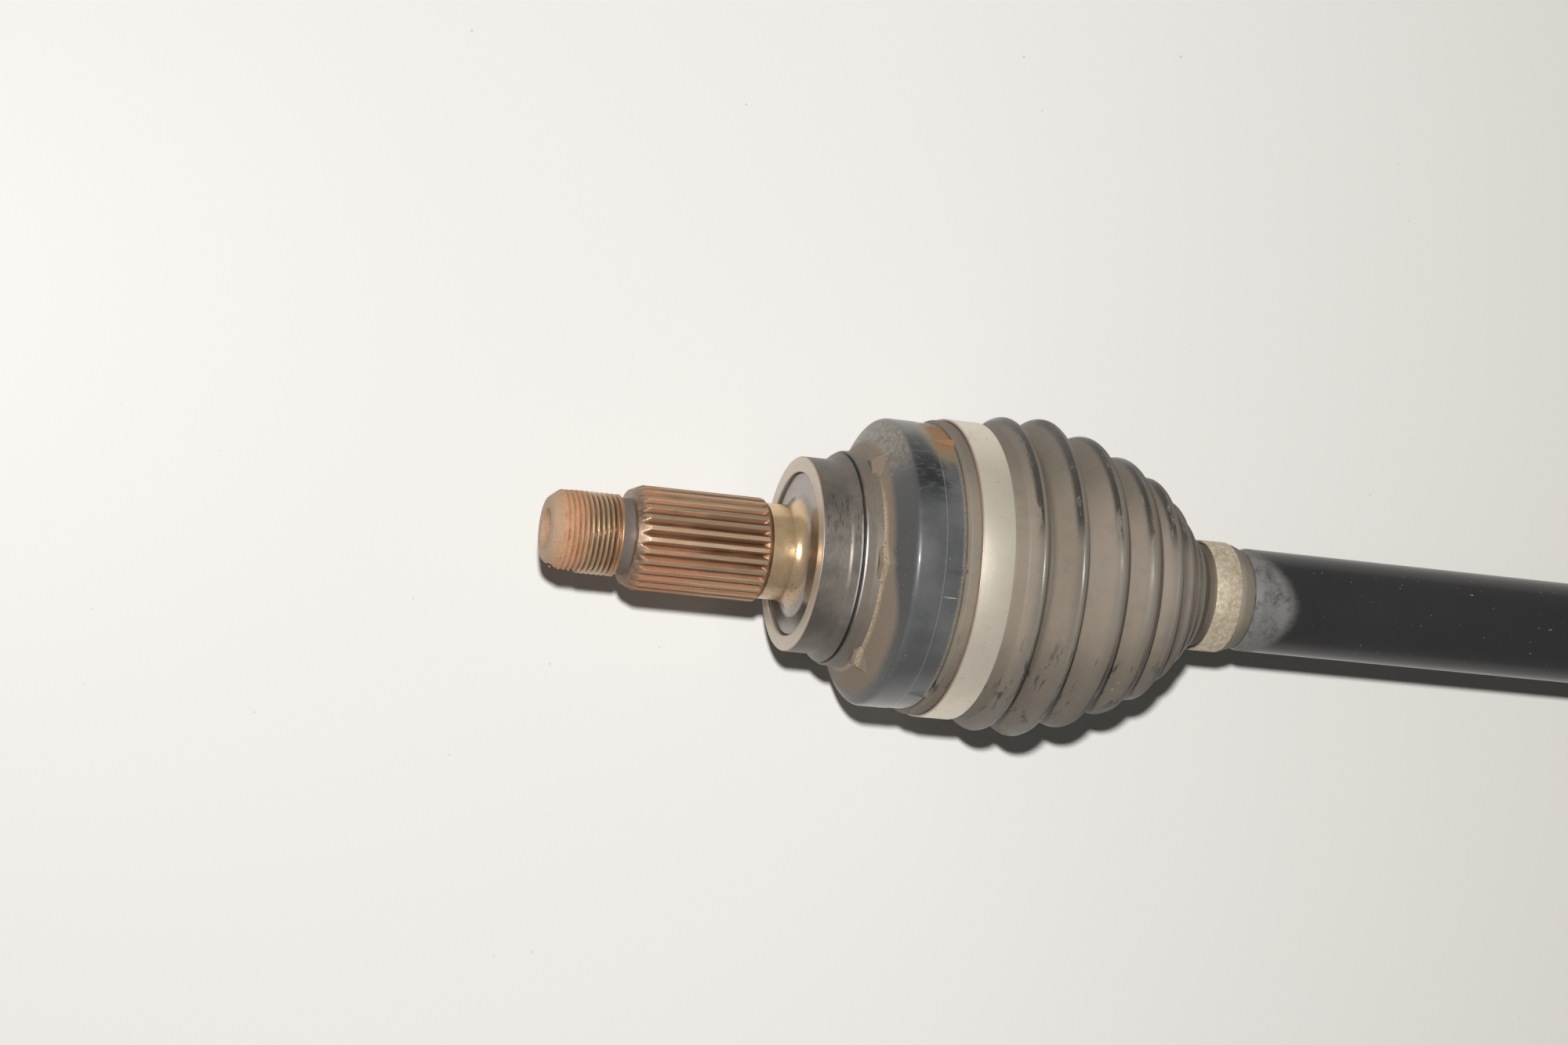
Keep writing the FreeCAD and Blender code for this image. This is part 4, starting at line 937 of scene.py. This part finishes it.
def bootLine(seat, rimLength, length, folds, clampStart, beadStart, beadEnd, beadHeight,
             first=0, last=None):
    # the closed outline of a boot's wall with its first valley at 0, or of the part between two valleys
    rim = seat + boots["rimWall"]
    crown = rim + boots["rimBead"]
    raised = rim + boots["rimBead"] / 2
    groove = seat - beadHeight
    lip, neckRadius = boots["lip"], boots["neckRadius"]
    circles = foldCircles(crown, length, folds)
    angles = flankAngles(circles)
    end = len(circles) - 1 if last is None else last
    outer = foldLine(circles, angles, 0, 9, first, end)
    inner = foldLine(circles, angles, boots["wall"], 18, first, end)
    clampEnd = clampStart + bands["largeWidth"]
    neck = []
    if end == len(circles) - 1:
        neckInner = neckRadius - boots["neckWall"]
        neckStart = length + boots["neckOffset"]
        clampOff = neckStart + bands["smallWidth"] + 0.1
        neckEnd = neckStart + boots["neckLength"]
        bead = neckRadius + boots["neckBead"]
        neck = roundOff([outer[-1], (clampOff, neckRadius), (clampOff + lip / 2, bead, 0.3),
                         (clampOff + 2 * lip, bead, 0.5), (neckEnd, neckRadius - lip, 0.4),
                         (neckEnd, neckInner), (neckStart, neckInner), inner[-1]])[1:-1]
    sides = []
    if first == 0:
        sides = roundOff([inner[0], (-lip, seat), (beadEnd, seat), (beadEnd - lip / 2, groove),
                          (beadStart + lip / 2, groove), (beadStart, seat), (-rimLength, seat),
                          (-rimLength, rim - lip, 0.4), (lip - rimLength, raised, 0.5),
                          (clampStart - lip / 2, raised, 0.3), (clampStart, rim),
                          (clampEnd, rim), (clampEnd + lip / 2, crown, 0.3), outer[0]])[1:-1]
    return outer + neck + inner[::-1] + sides


def bootRubber(name, seed):
    # dusty rubber that shines darkly beside the crests, where hands and grease wipe it
    f = Finish(name, "drawn")
    before, after, _ = f.split(f.node("ShaderNodeAttribute", {"attribute_name": "fold"}, {}, "Vector"))
    f.place = f.node("ShaderNodeVectorMath", {"operation": "ADD"}, {0: f.place, 1: (seed, seed * 2, 0)})
    up = f.y / f.radius
    cloud = f.noise(0.05, 4.0, 0.6)
    broad = f.noise(0.13, 5.0, 0.6)
    fine = f.noise(1.6, 5.0, 0.65)
    grain = f.noise(5.0, 2.0, 0.5)
    along = f.noise(0.3, 6.0, 0.7, 0.2, stretch=(1.6, 0.22, 0.22))
    crest = f.rise(f.least(before, after * 1.6), 3.4, 0.4)
    dustTone = f.colours(cloud, (130, 120, 107), (158, 146, 131))
    dustTone = f.colours(f.rise(broad, 0.5, 0.7) * 0.4, dustTone, (122, 116, 107))
    # painted shade: the sides that face up and down are darker
    sideShade = f.rise(abs(up - 0.05), 0.35, 0.85)
    dustTone = f.colours(sideShade * 0.5, dustTone, (92, 86, 78))
    f.colour = f.colours(crest * 0.5, dustTone, (100, 96, 91))
    # the steep side after a crest, and the valley, are painted dark: painted shade
    valleyShade = f.rise(after, 0.6, 1.4) * f.rise(after, 6.5, 4.5)
    f.lay(valleyShade * 0.65, (60, 52, 44))
    # wiped to black: a line beside the crests high up, and broken patches low down
    upper = f.rise(f.y, 10.0, 20.0) * f.rise(before, 2.6, 1.5) * f.rise(before, 0.3, 0.6)
    upper = upper * f.rise(along, 0.4, 0.47)
    lower = f.rise(f.y, -12.0, -30.0) * f.rise(along + f.rise(after, 7.0, 2.0) * 0.1, 0.57, 0.62)
    wiped = f.most(upper, lower)
    f.lay(wiped * 0.9, f.colours(fine, (30, 29, 29), (62, 58, 54)))
    pale = f.rise(f.y, -14.0, -30.0) * f.rise(along, 0.36, 0.3)
    f.lay(pale * 0.6, (176, 168, 154))
    specks = f.rise(f.noise(1.9, 2.0, 0.5), 0.745, 0.77)
    f.lay(specks * 0.8, (218, 210, 196))
    # the crests are polished in places only
    polish = crest * f.rise(f.noise(0.04, 2.0, 0.5), 0.42, 0.6)
    rough = 0.58 - polish * 0.32 - wiped * 0.16 + fine * 0.1
    return f.surface(rough, 0.0, grain * 0.012 + fine * 0.03 + broad * 0.2 - wiped * 0.04, 0.6,
                     Specular_IOR_Level=0.6)


def keepDrawn(made, crests):
    # the place of every point as drawn, so that the pattern stays on the rubber when it bends, and how far
    # the point lies before the next crest and after the last one
    places = np.zeros(len(made.data.vertices) * 3, np.float32)
    made.data.vertices.foreach_get("co", places)
    places = places.reshape(-1, 3)
    apart = (places[:, :1] / mm - np.array(crests)) * (1 if crests[-1] > crests[0] else -1)
    folds = np.zeros_like(places)
    folds[:, 0] = np.where(apart <= 0, -apart, 99).min(axis=1)
    folds[:, 1] = np.where(apart > 0, apart, 99).min(axis=1)
    for name, values in (("drawn", places), ("fold", folds)):
        attribute = made.data.attributes.new(name, "FLOAT_VECTOR", "POINT")
        attribute.data.foreach_set("vector", values.ravel())


def bootPiece(name, line, finish, crests):
    made = turnedMesh(name, line, boots["steps"], ring=True)
    shapedBy(made, mouldedTree, finish, Waves=boots["waves"], Seam_turn=boots["seamTurn"],
             Seam_width=boots["seamWidth"], Seam_height=boots["seamHeight"])
    keepDrawn(made, crests)
    smoothed(made, 40)
    return made


outerFoldX = mouthX - boots["outerFromMouth"]
outerLength = boots["outerLength"]
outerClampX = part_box("outer_clamp_large")[0].x / mm
outerLine = bootLine(bootSeat + boots["outerGap"], boots["outerRim"], outerLength, outerFolds,
                     outerClampX - outerFoldX, beadStart - outerFoldX + boots["outerGap"],
                     beadEnd - outerFoldX - boots["outerGap"], bell["beadDepth"])
outerLine = [Vector((p[0] + outerFoldX, p[1])) for p in outerLine]
outerCrests = [outerFoldX + fold[0] * outerLength for fold in outerFolds]
outerBoot = bootPiece("outerBoot", outerLine, bootRubber("outerRubber", 0), outerCrests)
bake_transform(outerBoot)
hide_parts("outer_boot")

tulip = {"mouthFromCentre": 36.0, "floorFromCentre": 52.0, "floorWall": 10.0, "collarRadius": 39.0,
         "collarLength": 20.0, "grooveDepth": 0.8, "grooveLength": 5.0, "grooveFromMouth": 8.0,
         "shoulder": 6.0, "rollerPitch": 22.0, "trackRadius": 17.15, "roofRadius": 33.2, "wall": 5.3,
         "boreRadius": 23.5, "valleyWall": 4.5, "mouthRadius": 33.0, "flareLength": 26.0,
         "journalRadius": 19.0, "journalLength": 21.0, "neckRadius": 12.6, "splineRadius": 14.5,
         "splineDepth": 1.1, "splineLength": 50.0, "teeth": 27, "grooveShare": 0.32, "flankShare": 0.34,
         "ringFromTip": 9.0, "ringDepth": 1.4, "ringWidth": 1.9, "chamfer": 2.0, "lobeStep": 0.6,
         "journalStep": 3.0, "lead": 1.5, "stepsPerTooth": 12, "hollowSteps": 26}
tulipMouth = rollerX - tulip["mouthFromCentre"]
tulipFloor = rollerX + tulip["floorFromCentre"]
tulipEnd = tulipFloor + tulip["floorWall"]
innerFoldX = tulipMouth - boots["innerFromMouth"]
innerLength = boots["innerLength"]
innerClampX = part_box("inner_clamp_large")[0].x / mm
innerArgs = (tulip["collarRadius"] + boots["innerGap"], boots["innerRim"], innerLength, innerFolds,
             innerFoldX - innerClampX - bands["largeWidth"], -boots["innerBeadTo"],
             -boots["innerBeadFrom"], tulip["grooveDepth"])
innerRubber = bootRubber("innerRubber", 57)
innerCrests = [innerFoldX - fold[0] * innerLength for fold in innerFolds]
# the boot is made in two halves, a rim half and a neck half, split at a valley
innerBoots = []
halves = (("innerBootRim", 0, boots["splitValley"]), ("innerBootNeck", boots["splitValley"], None))
for name, first, last in halves:
    line = [Vector((innerFoldX - p[0], p[1])) for p in bootLine(*innerArgs, first=first, last=last)]
    innerBoots.append(bootPiece(name, line, innerRubber, innerCrests))
splitX = max(v.co.x for v in innerBoots[1].data.vertices) / mm
neckSideX = innerFoldX - innerLength
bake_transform(innerBoots[0], "inner_boot", "inner_housing", start=(splitX * mm, 0, 0),
         end=(innerFoldX * mm, 0, 0))
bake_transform(innerBoots[1], "shaft", "inner_boot", start=(neckSideX * mm, 0, 0),
         end=((splitX - boots["splitGap"]) * mm, 0, 0))
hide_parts("inner_boot")
print("boots made; the inner one is split at", round(splitX, 2))


# Bands

def bandSteel():
    f = Finish("bandSteel")
    brushed = f.noise(1.0, 5.0, 0.65, stretch=(3.0, 0.12, 0.12))
    cloud = f.noise(0.07, 4.0, 0.6)
    fine = f.noise(1.5, 4.0, 0.6)
    grime = f.rise(f.noise(0.35, 5.0, 0.7), 0.56, 0.7)
    f.colour = f.colours(cloud, (224, 215, 198), (246, 239, 225))
    f.lay(brushed * 0.2, (178, 167, 150))
    f.lay(grime * 0.25, (156, 144, 120))
    # a thin red-brown line along the edge towards the bell
    leftEdge = f.rise(f.x, outerClampX + 0.7, outerClampX + 0.1)
    f.lay(leftEdge * 0.6, (134, 84, 62))
    pits = f.rise(fine, 0.7, 0.75)
    f.lay(pits * 0.5, (118, 104, 84))
    return f.surface(0.36 + brushed * 0.1 + grime * 0.1, 0.7,
                     brushed * 0.015 - pits * 0.03 + cloud * 0.15)


def zincBand():
    f = Finish("zincBand")
    mottle = f.noise(0.4, 6.0, 0.75)
    flakes = f.noise(0.75, 3.0, 0.6, 0.6)
    fine = f.noise(2.0, 4.0, 0.7)
    bright = f.rise(flakes * 0.5 + mottle * 0.6, 0.42, 0.7)
    f.colour = f.colours(bright, (184, 169, 145), (228, 215, 192))
    dirt = f.rise(mottle, 0.58, 0.72)
    f.lay(dirt * 0.3, (140, 124, 98))
    return f.surface(0.44 + fine * 0.14, 0.4, mottle * 0.25 + fine * 0.08, 0.8)


def band(name, node, finish, body, slot, width, radius, ear):
    low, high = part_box(node)
    made = linked(name, bpy.data.meshes.new(name))
    shapedBy(made, bandTree, finish, Radius=radius, Width=width,
             Thickness=bands["thickness"], Centre=(low.x + high.x) / 2 / mm,
             Ear_height=bands["earHeight"], Ear_width=ear,
             Ear_turn=math.radians(bands["earAngle"]))
    outward(made.data)
    smoothed(made, 40)
    return dressed(made, body, slot, node)


satin = bandSteel()
zinc = zincBand()
band("outerBandLarge", "outer_clamp_large", satin, "outer_housing", "clamp_steel", bands["largeWidth"],
     bootSeat + bands["outerLift"], bands["largeEar"])
band("outerBandSmall", "outer_clamp_small", zinc, "shaft", "galvanised_clamp", bands["smallWidth"],
     boots["neckRadius"] + bands["neckLift"], bands["smallEar"])
band("innerBandSmall", "inner_clamp_small", zinc, "shaft", "galvanised_clamp", bands["smallWidth"],
     boots["neckRadius"] + bands["neckLift"], bands["smallEar"])
band("innerBandLarge", "inner_clamp_large", satin, "inner_housing", "clamp_steel", bands["largeWidth"],
     tulip["collarRadius"] + bands["innerLift"], bands["largeEar"])
print("bands made")


# Shaft

shaft = {"tubeRadius": 15.9, "shoulderRadius": 15.2, "shoulderLength": 2.3, "landRadius": 14.5,
         "landLength": 14.0, "landTaper": 10.0, "stalkRadius": 13.2, "boreRadius": 5.0, "wall": 3.6,
         "boreTaper": 40.0, "splineRadius": 12.5, "splineDepth": 0.8, "teeth": 26, "grooveShare": 0.32,
         "flankShare": 0.34, "endLength": 17.0, "raceHalf": 12.05, "spiderEnd": 16.0, "chamfer": 1.2,
         "stepsPerTooth": 8}


def shaftPaint():
    f = Finish("shaftPaint")
    outerEnd = outerFoldX + outerLength + boots["neckOffset"] + shaft["landLength"]
    cloud = f.noise(0.03, 4.0, 0.6)
    haze = f.noise(0.3, 6.0, 0.7)
    # a chalky veil where the boot's neck ends, with a soft rounded edge
    veilEnd = outerEnd + 14.5 - (f.y + 2.0) * (f.y + 2.0) * 0.035
    chalk = f.rise(f.x + (haze - 0.5) * 5.0, veilEnd + 1.0, veilEnd - 4.0) * f.rise(haze, 0.2, 0.6)
    chalk = chalk * f.rise(f.z, -4.0, 4.0)
    scratch = f.rise(f.noise(0.7, 4.0, 0.7, stretch=(0.1, 2.4, 2.4)), 0.71, 0.76)
    f.colour = f.colours(cloud, (30, 30, 31), (44, 44, 46))
    f.lay(chalk * 0.75, (138, 137, 135))
    f.lay(scratch * 0.4, (128, 126, 122))
    specks = f.rise(f.noise(1.1, 1.0, 0.4), 0.775, 0.79)
    f.lay(specks * 0.8, (150, 146, 138))
    return f.surface(0.2 + chalk * 0.36 + cloud * 0.08 + scratch * 0.15, 0.0,
                     haze * chalk * 0.08 + cloud * 0.15, 0.5)


def shaftMesh():
    spline, stalk, land = shaft["splineRadius"], shaft["stalkRadius"], shaft["landRadius"]
    bore, tube, chamfer = shaft["boreRadius"], shaft["tubeRadius"], shaft["chamfer"]
    hollow = tube - shaft["wall"]
    start = jointX - shaft["endLength"]
    end = rollerX + shaft["spiderEnd"]
    raceStop = jointX + shaft["raceHalf"]
    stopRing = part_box("inner_stop_ring")[0].x / mm
    outerLand = outerFoldX + outerLength + boots["neckOffset"]
    outerLandEnd = outerLand + shaft["landLength"]
    innerLand = innerFoldX - innerLength - boots["neckOffset"]
    innerLandStart = innerLand - shaft["landLength"]
    tubeStart = outerLandEnd + shaft["shoulderLength"]
    tubeEnd = innerLandStart - shaft["shoulderLength"]
    line = roundOff([
        (start, bore),
        (start, spline - chamfer),
        (start + chamfer, spline),
        (raceStop, spline),
        (raceStop, stalk, 0.3),
        (outerLand - shaft["landTaper"], stalk, 8.0),
        (outerLand, land, 4.0),
        (outerLandEnd, land),
        (outerLandEnd, shaft["shoulderRadius"], 0.4),
        (tubeStart, tube, 1.5),
        (tubeEnd, tube, 1.5),
        (innerLandStart, shaft["shoulderRadius"], 0.4),
        (innerLandStart, land),
        (innerLand, land, 4.0),
        (innerLand + shaft["landTaper"], stalk, 8.0),
        (stopRing, stalk, 0.5),
        (stopRing, spline),
        (end - chamfer, spline),
        (end, spline - chamfer),
        (end, bore),
        (tubeEnd, bore, 20.0),
        (tubeEnd - shaft["boreTaper"], hollow, 20.0),
        (tubeStart + shaft["boreTaper"], hollow, 20.0),
        (tubeStart, bore, 20.0),
        (start, bore),
    ], 10)
    return line[:-1], raceStop, stopRing


line, raceStop, stopRing = shaftMesh()
line = dense(line, tipX, raceStop, 1.5)
shaftTube = turnedMesh("shaftTube", line, shaft["teeth"] * shaft["stepsPerTooth"], ring=True)
paint = shaftPaint()
for low, high in ((tipX, raceStop - 0.01), (stopRing + 0.01, endX)):
    shapedBy(shaftTube, teethTree, paint, Teeth=shaft["teeth"],
             Root_radius=shaft["splineRadius"] - shaft["splineDepth"],
             Depth=shaft["splineDepth"], Groove_share=shaft["grooveShare"],
             Flank_share=shaft["flankShare"], Start=low, End=high, Fade_end=endX,
             Fade_length=1.0)
smoothed(shaftTube)
dressed(shaftTube, "shaft", "shaft_paint", "shaft_tube")
print("shaft made")


# Gearbox end

def tulipPaint():
    f = Finish("tulipPaint")
    cloud = f.noise(0.05, 4.0, 0.6)
    fine = f.noise(1.2, 6.0, 0.7)
    journalStart = tulipEnd + 1.2
    bare = f.rise(f.x, journalStart - 0.3, journalStart + 0.3)
    rings = f.noise(3.0, 3.0, 0.6, stretch=(1.0, 0.02, 0.02))
    dust = f.rise(cloud + fine * 0.3, 0.5, 0.9)
    black = f.colours(dust, (24, 24, 24), (92, 86, 78))
    steel = f.colours(fine, (150, 142, 130), (196, 188, 174))
    rust = f.rise(f.noise(0.4, 5.0, 0.7), 0.58, 0.7)
    rust = rust * f.rise(f.x, journalStart + 18, journalStart + 24)
    steel = f.colours(rust * 0.7, steel, (120, 74, 46))
    # the bottoms of the spline's grooves are painted dark: painted shade
    rootShade = f.rise(f.radius, 14.3, 13.6) * f.rise(f.x, journalStart + 26, journalStart + 30)
    steel = f.colours(rootShade * 0.7, steel, (48, 38, 30))
    wear = f.rise(f.noise(0.7, 5.0, 0.75, stretch=(0.6, 1.6, 1.6)), 0.66, 0.74) * 0.35
    f.colour = f.colours(bare, f.colours(wear, black, (140, 134, 124)), steel)
    rough = 0.3 + dust * 0.25 * (1 - bare) + rust * 0.3
    return f.surface(rough, bare * 0.85, fine * 0.06 * (1 - bare) + rings * 0.02 * bare, 0.7)


def tulipMesh():
    roof = tulip["roofRadius"] + tulip["wall"]
    collar, spline, journal = tulip["collarRadius"], tulip["splineRadius"], tulip["journalRadius"]
    groove = collar - tulip["grooveDepth"]
    lobes = collar - tulip["lobeStep"]
    grooveStart = tulipMouth + tulip["grooveFromMouth"]
    grooveEnd = grooveStart + tulip["grooveLength"]
    collarEnd = tulipMouth + tulip["collarLength"]
    journalEnd = tulipEnd + tulip["journalLength"]
    splineX = endX - tulip["splineLength"]
    ringX = endX - tulip["ringFromTip"]
    ringRoot = spline - tulip["ringDepth"]
    outer = roundOff([
        (tulipMouth, tulip["mouthRadius"]),
        (tulipMouth, collar, 1.0),
        (grooveStart, collar),
        (grooveStart, groove),
        (grooveEnd, groove),
        (grooveEnd, collar),
        (collarEnd, collar, 1.0),
        (collarEnd + tulip["lobeStep"], lobes),
        (tulipEnd, lobes, tulip["shoulder"] * 2),
        (tulipEnd, journal + tulip["journalStep"]),
        (tulipEnd + 2.0, journal, 1.5),
        (journalEnd, journal, 0.8),
        (journalEnd + tulip["lead"], tulip["neckRadius"], 1.5),
        (splineX, tulip["neckRadius"], 1.5),
        (splineX + tulip["lead"], spline, 0.5),
        (ringX, spline),
        (ringX, ringRoot),
        (ringX + tulip["ringWidth"], ringRoot),
        (ringX + tulip["ringWidth"], spline),
        (endX - tulip["chamfer"], spline, 0.5),
        (endX, spline - tulip["chamfer"]),
        (endX, 0),
    ], 9)
    outer = dense(outer, collarEnd, collarEnd + 9.0, 0.7)
    outer = dense(outer, splineX - 1, splineX + 3, 0.4)
    steps = tulip["hollowSteps"]
    inner = [Vector((tulipFloor, 0)), Vector((tulipFloor, tulip["boreRadius"]))]
    inner += [Vector((tulipFloor + (tulipMouth - tulipFloor) * k / steps, tulip["boreRadius"]))
              for k in range(1, steps)]
    return inner, outer, roof, collarEnd, splineX


def rollerReach():
    # the three roller tracks inside the tulip, and its flared mouth
    def reach(x, radius, angles):
        if radius != tulip["boreRadius"]:
            return np.full(len(angles), radius)
        off = ((angles / (2 * math.pi) - 0.25) * 3 + 0.5) % 1 - 0.5
        off = off * 2 * math.pi / 3
        pitch, track = tulip["rollerPitch"], tulip["trackRadius"]
        side = np.clip(track ** 2 - (pitch * np.sin(off)) ** 2, 0, None)
        lobe = pitch * np.cos(off) + np.sqrt(side)
        lobe = np.where(np.abs(pitch * np.sin(off)) < track, np.minimum(lobe, tulip["roofRadius"]), 0)
        flare = tulip["mouthRadius"] - (x - tulipMouth) / tulip["flareLength"] * \
            (tulip["mouthRadius"] - tulip["boreRadius"])
        return np.maximum(np.maximum(lobe, flare), radius)
    return reach


inner, outer, roof, collarEnd, splineX = tulipMesh()
tulipHousing = turnedMesh("tulipHousing", inner + outer, tulip["teeth"] * tulip["stepsPerTooth"],
                          reach=rollerReach())
tulipFinish = tulipPaint()
shapedBy(tulipHousing, lobesTree, tulipFinish, Roller_pitch=tulip["rollerPitch"],
         Lobe_radius=tulip["trackRadius"] + tulip["wall"], Roof_radius=roof,
         Core_radius=tulip["boreRadius"] + tulip["valleyWall"], Start=collarEnd + 1.0,
         End=tulipEnd + 0.1)
shapedBy(tulipHousing, teethTree, tulipFinish, Teeth=tulip["teeth"],
         Root_radius=tulip["splineRadius"] - tulip["splineDepth"], Depth=tulip["splineDepth"],
         Groove_share=tulip["grooveShare"], Flank_share=tulip["flankShare"], Start=splineX + 0.05,
         End=endX + 1000.0, Fade_end=endX + 1000.0, Fade_length=1.0)
outward(tulipHousing.data)
smoothed(tulipHousing)
dressed(tulipHousing, "inner_housing", "tulip_steel", "inner_housing")
print("gearbox end made")


# Pieces inside the joints keep their own meshes

insideFinishes = {
    "bearing_steel": oiledSteel("groundSteel", (150, 146, 138), (190, 186, 178), 0.26),
    "ball_steel": oiledSteel("polishedSteel", (196, 194, 190), (224, 222, 218), 0.1, 1.0, 0.2),
    "spring_steel": oiledSteel("springSteel", (74, 68, 60), (110, 102, 92), 0.34),
}
for part in frame["record"]["subparts"]:
    finish = insideFinishes.get(part["material_slot"])
    node = nodes[part["node"]]
    if finish and not node.hide_render:
        node.data.materials.clear()
        node.data.materials.append(finish)
print("inside pieces coated")


# Floor, lamp, surroundings and camera

stage = {"floorTone": (244, 243, 241), "falloffTone": (232, 229, 225), "keyPower": 9.4, "keySize": 0.035,
         "keyAbove": 0.1, "keyTone": (1.0, 0.985, 0.96, 1.0), "keyAim": -0.2,
         "skyTone": (1.0, 0.97, 0.93, 1.0), "skyForSurfaces": 0.055, "skyForGloss": 0.4, "skySeen": 0.9,
         "floorReach": 3.0, "floorGap": 0.0001, "lens": 72.0}
# the way the camera looks, and its place
right = Vector((0.94772, 0.10210, 0.30234))
up = Vector((-0.10019, 0.99475, -0.02184))
back = Vector((-0.30298, -0.00959, 0.95297))
eye = Vector((-0.5594, 0.0, 0.8842))


def floorFinish():
    f = Finish("floorFinish")
    cloud = f.noise(0.004, 3.0, 0.5)
    # the floor is painted darker away from the lamp: painted light falloff
    paintedFalloff = f.rise(f.x + cloud * 60.0, -250.0, 150.0)
    f.colour = f.colours(paintedFalloff, stage["floorTone"], stage["falloffTone"])
    specks = f.rise(f.noise(0.5, 0.0, 0.0), 0.91, 0.92)
    f.lay(specks * 0.3, (120, 112, 104))
    return f.surface(0.45, 0.0, cloud * 0.02, Specular_IOR_Level=0.3)


def buildFloor():
    level = min(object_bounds()[0].z, cadBox[0].z) - stage["floorGap"]
    size = stage["floorReach"]
    mesh = bpy.data.meshes.new("floor")
    corners = [(-size, -size, level), (size, -size, level), (size, size, level), (-size, size, level)]
    mesh.from_pydata(corners, [], [(0, 1, 2, 3)])
    mesh.materials.append(floorFinish())
    linked("floor", mesh)


def buildKey():
    lamp = bpy.data.lights.new("keyLamp", "AREA")
    lamp.shape = "DISK"
    lamp.size = stage["keySize"]
    lamp.energy = stage["keyPower"]
    lamp.use_nodes = True
    lamp.node_tree.nodes.clear()
    board = Board(lamp.node_tree)
    even = board.node("ShaderNodeLightFalloff", {}, {"Strength": 1.0}, "Constant")
    glow = board.node("ShaderNodeEmission", {}, {"Color": stage["keyTone"], "Strength": even})
    board.node("ShaderNodeOutputLight", {}, {"Surface": glow})
    made = linked("keyLamp", lamp)
    made.location = eye + up * stage["keyAbove"]
    aim = Vector((stage["keyAim"], 0, 0)) - made.location
    made.rotation_euler = aim.to_track_quat("-Z", "Y").to_euler()


def buildSky():
    world = bpy.data.worlds.new("surroundings")
    bpy.context.scene.world = world
    world.use_nodes = True
    world.node_tree.nodes.clear()
    board = Board(world.node_tree)
    seen = board.node("ShaderNodeLightPath", {}, {}, "Is Camera Ray")
    glossy = board.other(seen, "Is Glossy Ray")
    strength = stage["skyForSurfaces"] + glossy * (stage["skyForGloss"] - stage["skyForSurfaces"])
    strength = strength + seen * (stage["skySeen"] - stage["skyForSurfaces"])
    tone = board.node("ShaderNodeBackground", {}, {"Color": stage["skyTone"], "Strength": strength})
    board.node("ShaderNodeOutputWorld", {}, {"Surface": tone})


def buildCamera():
    lens = bpy.data.cameras.new("camera")
    lens.lens = stage["lens"]
    lens.sensor_width = 36.0
    lens.clip_start = 0.01
    made = linked("camera", lens)
    turn = Matrix((right, up, back)).transposed().to_4x4()
    made.matrix_world = Matrix.Translation(eye) @ turn
    bpy.context.scene.camera = made


buildFloor()
buildKey()
buildSky()
buildCamera()
bpy.context.scene.view_settings.view_transform = "Standard"
print("stage made")
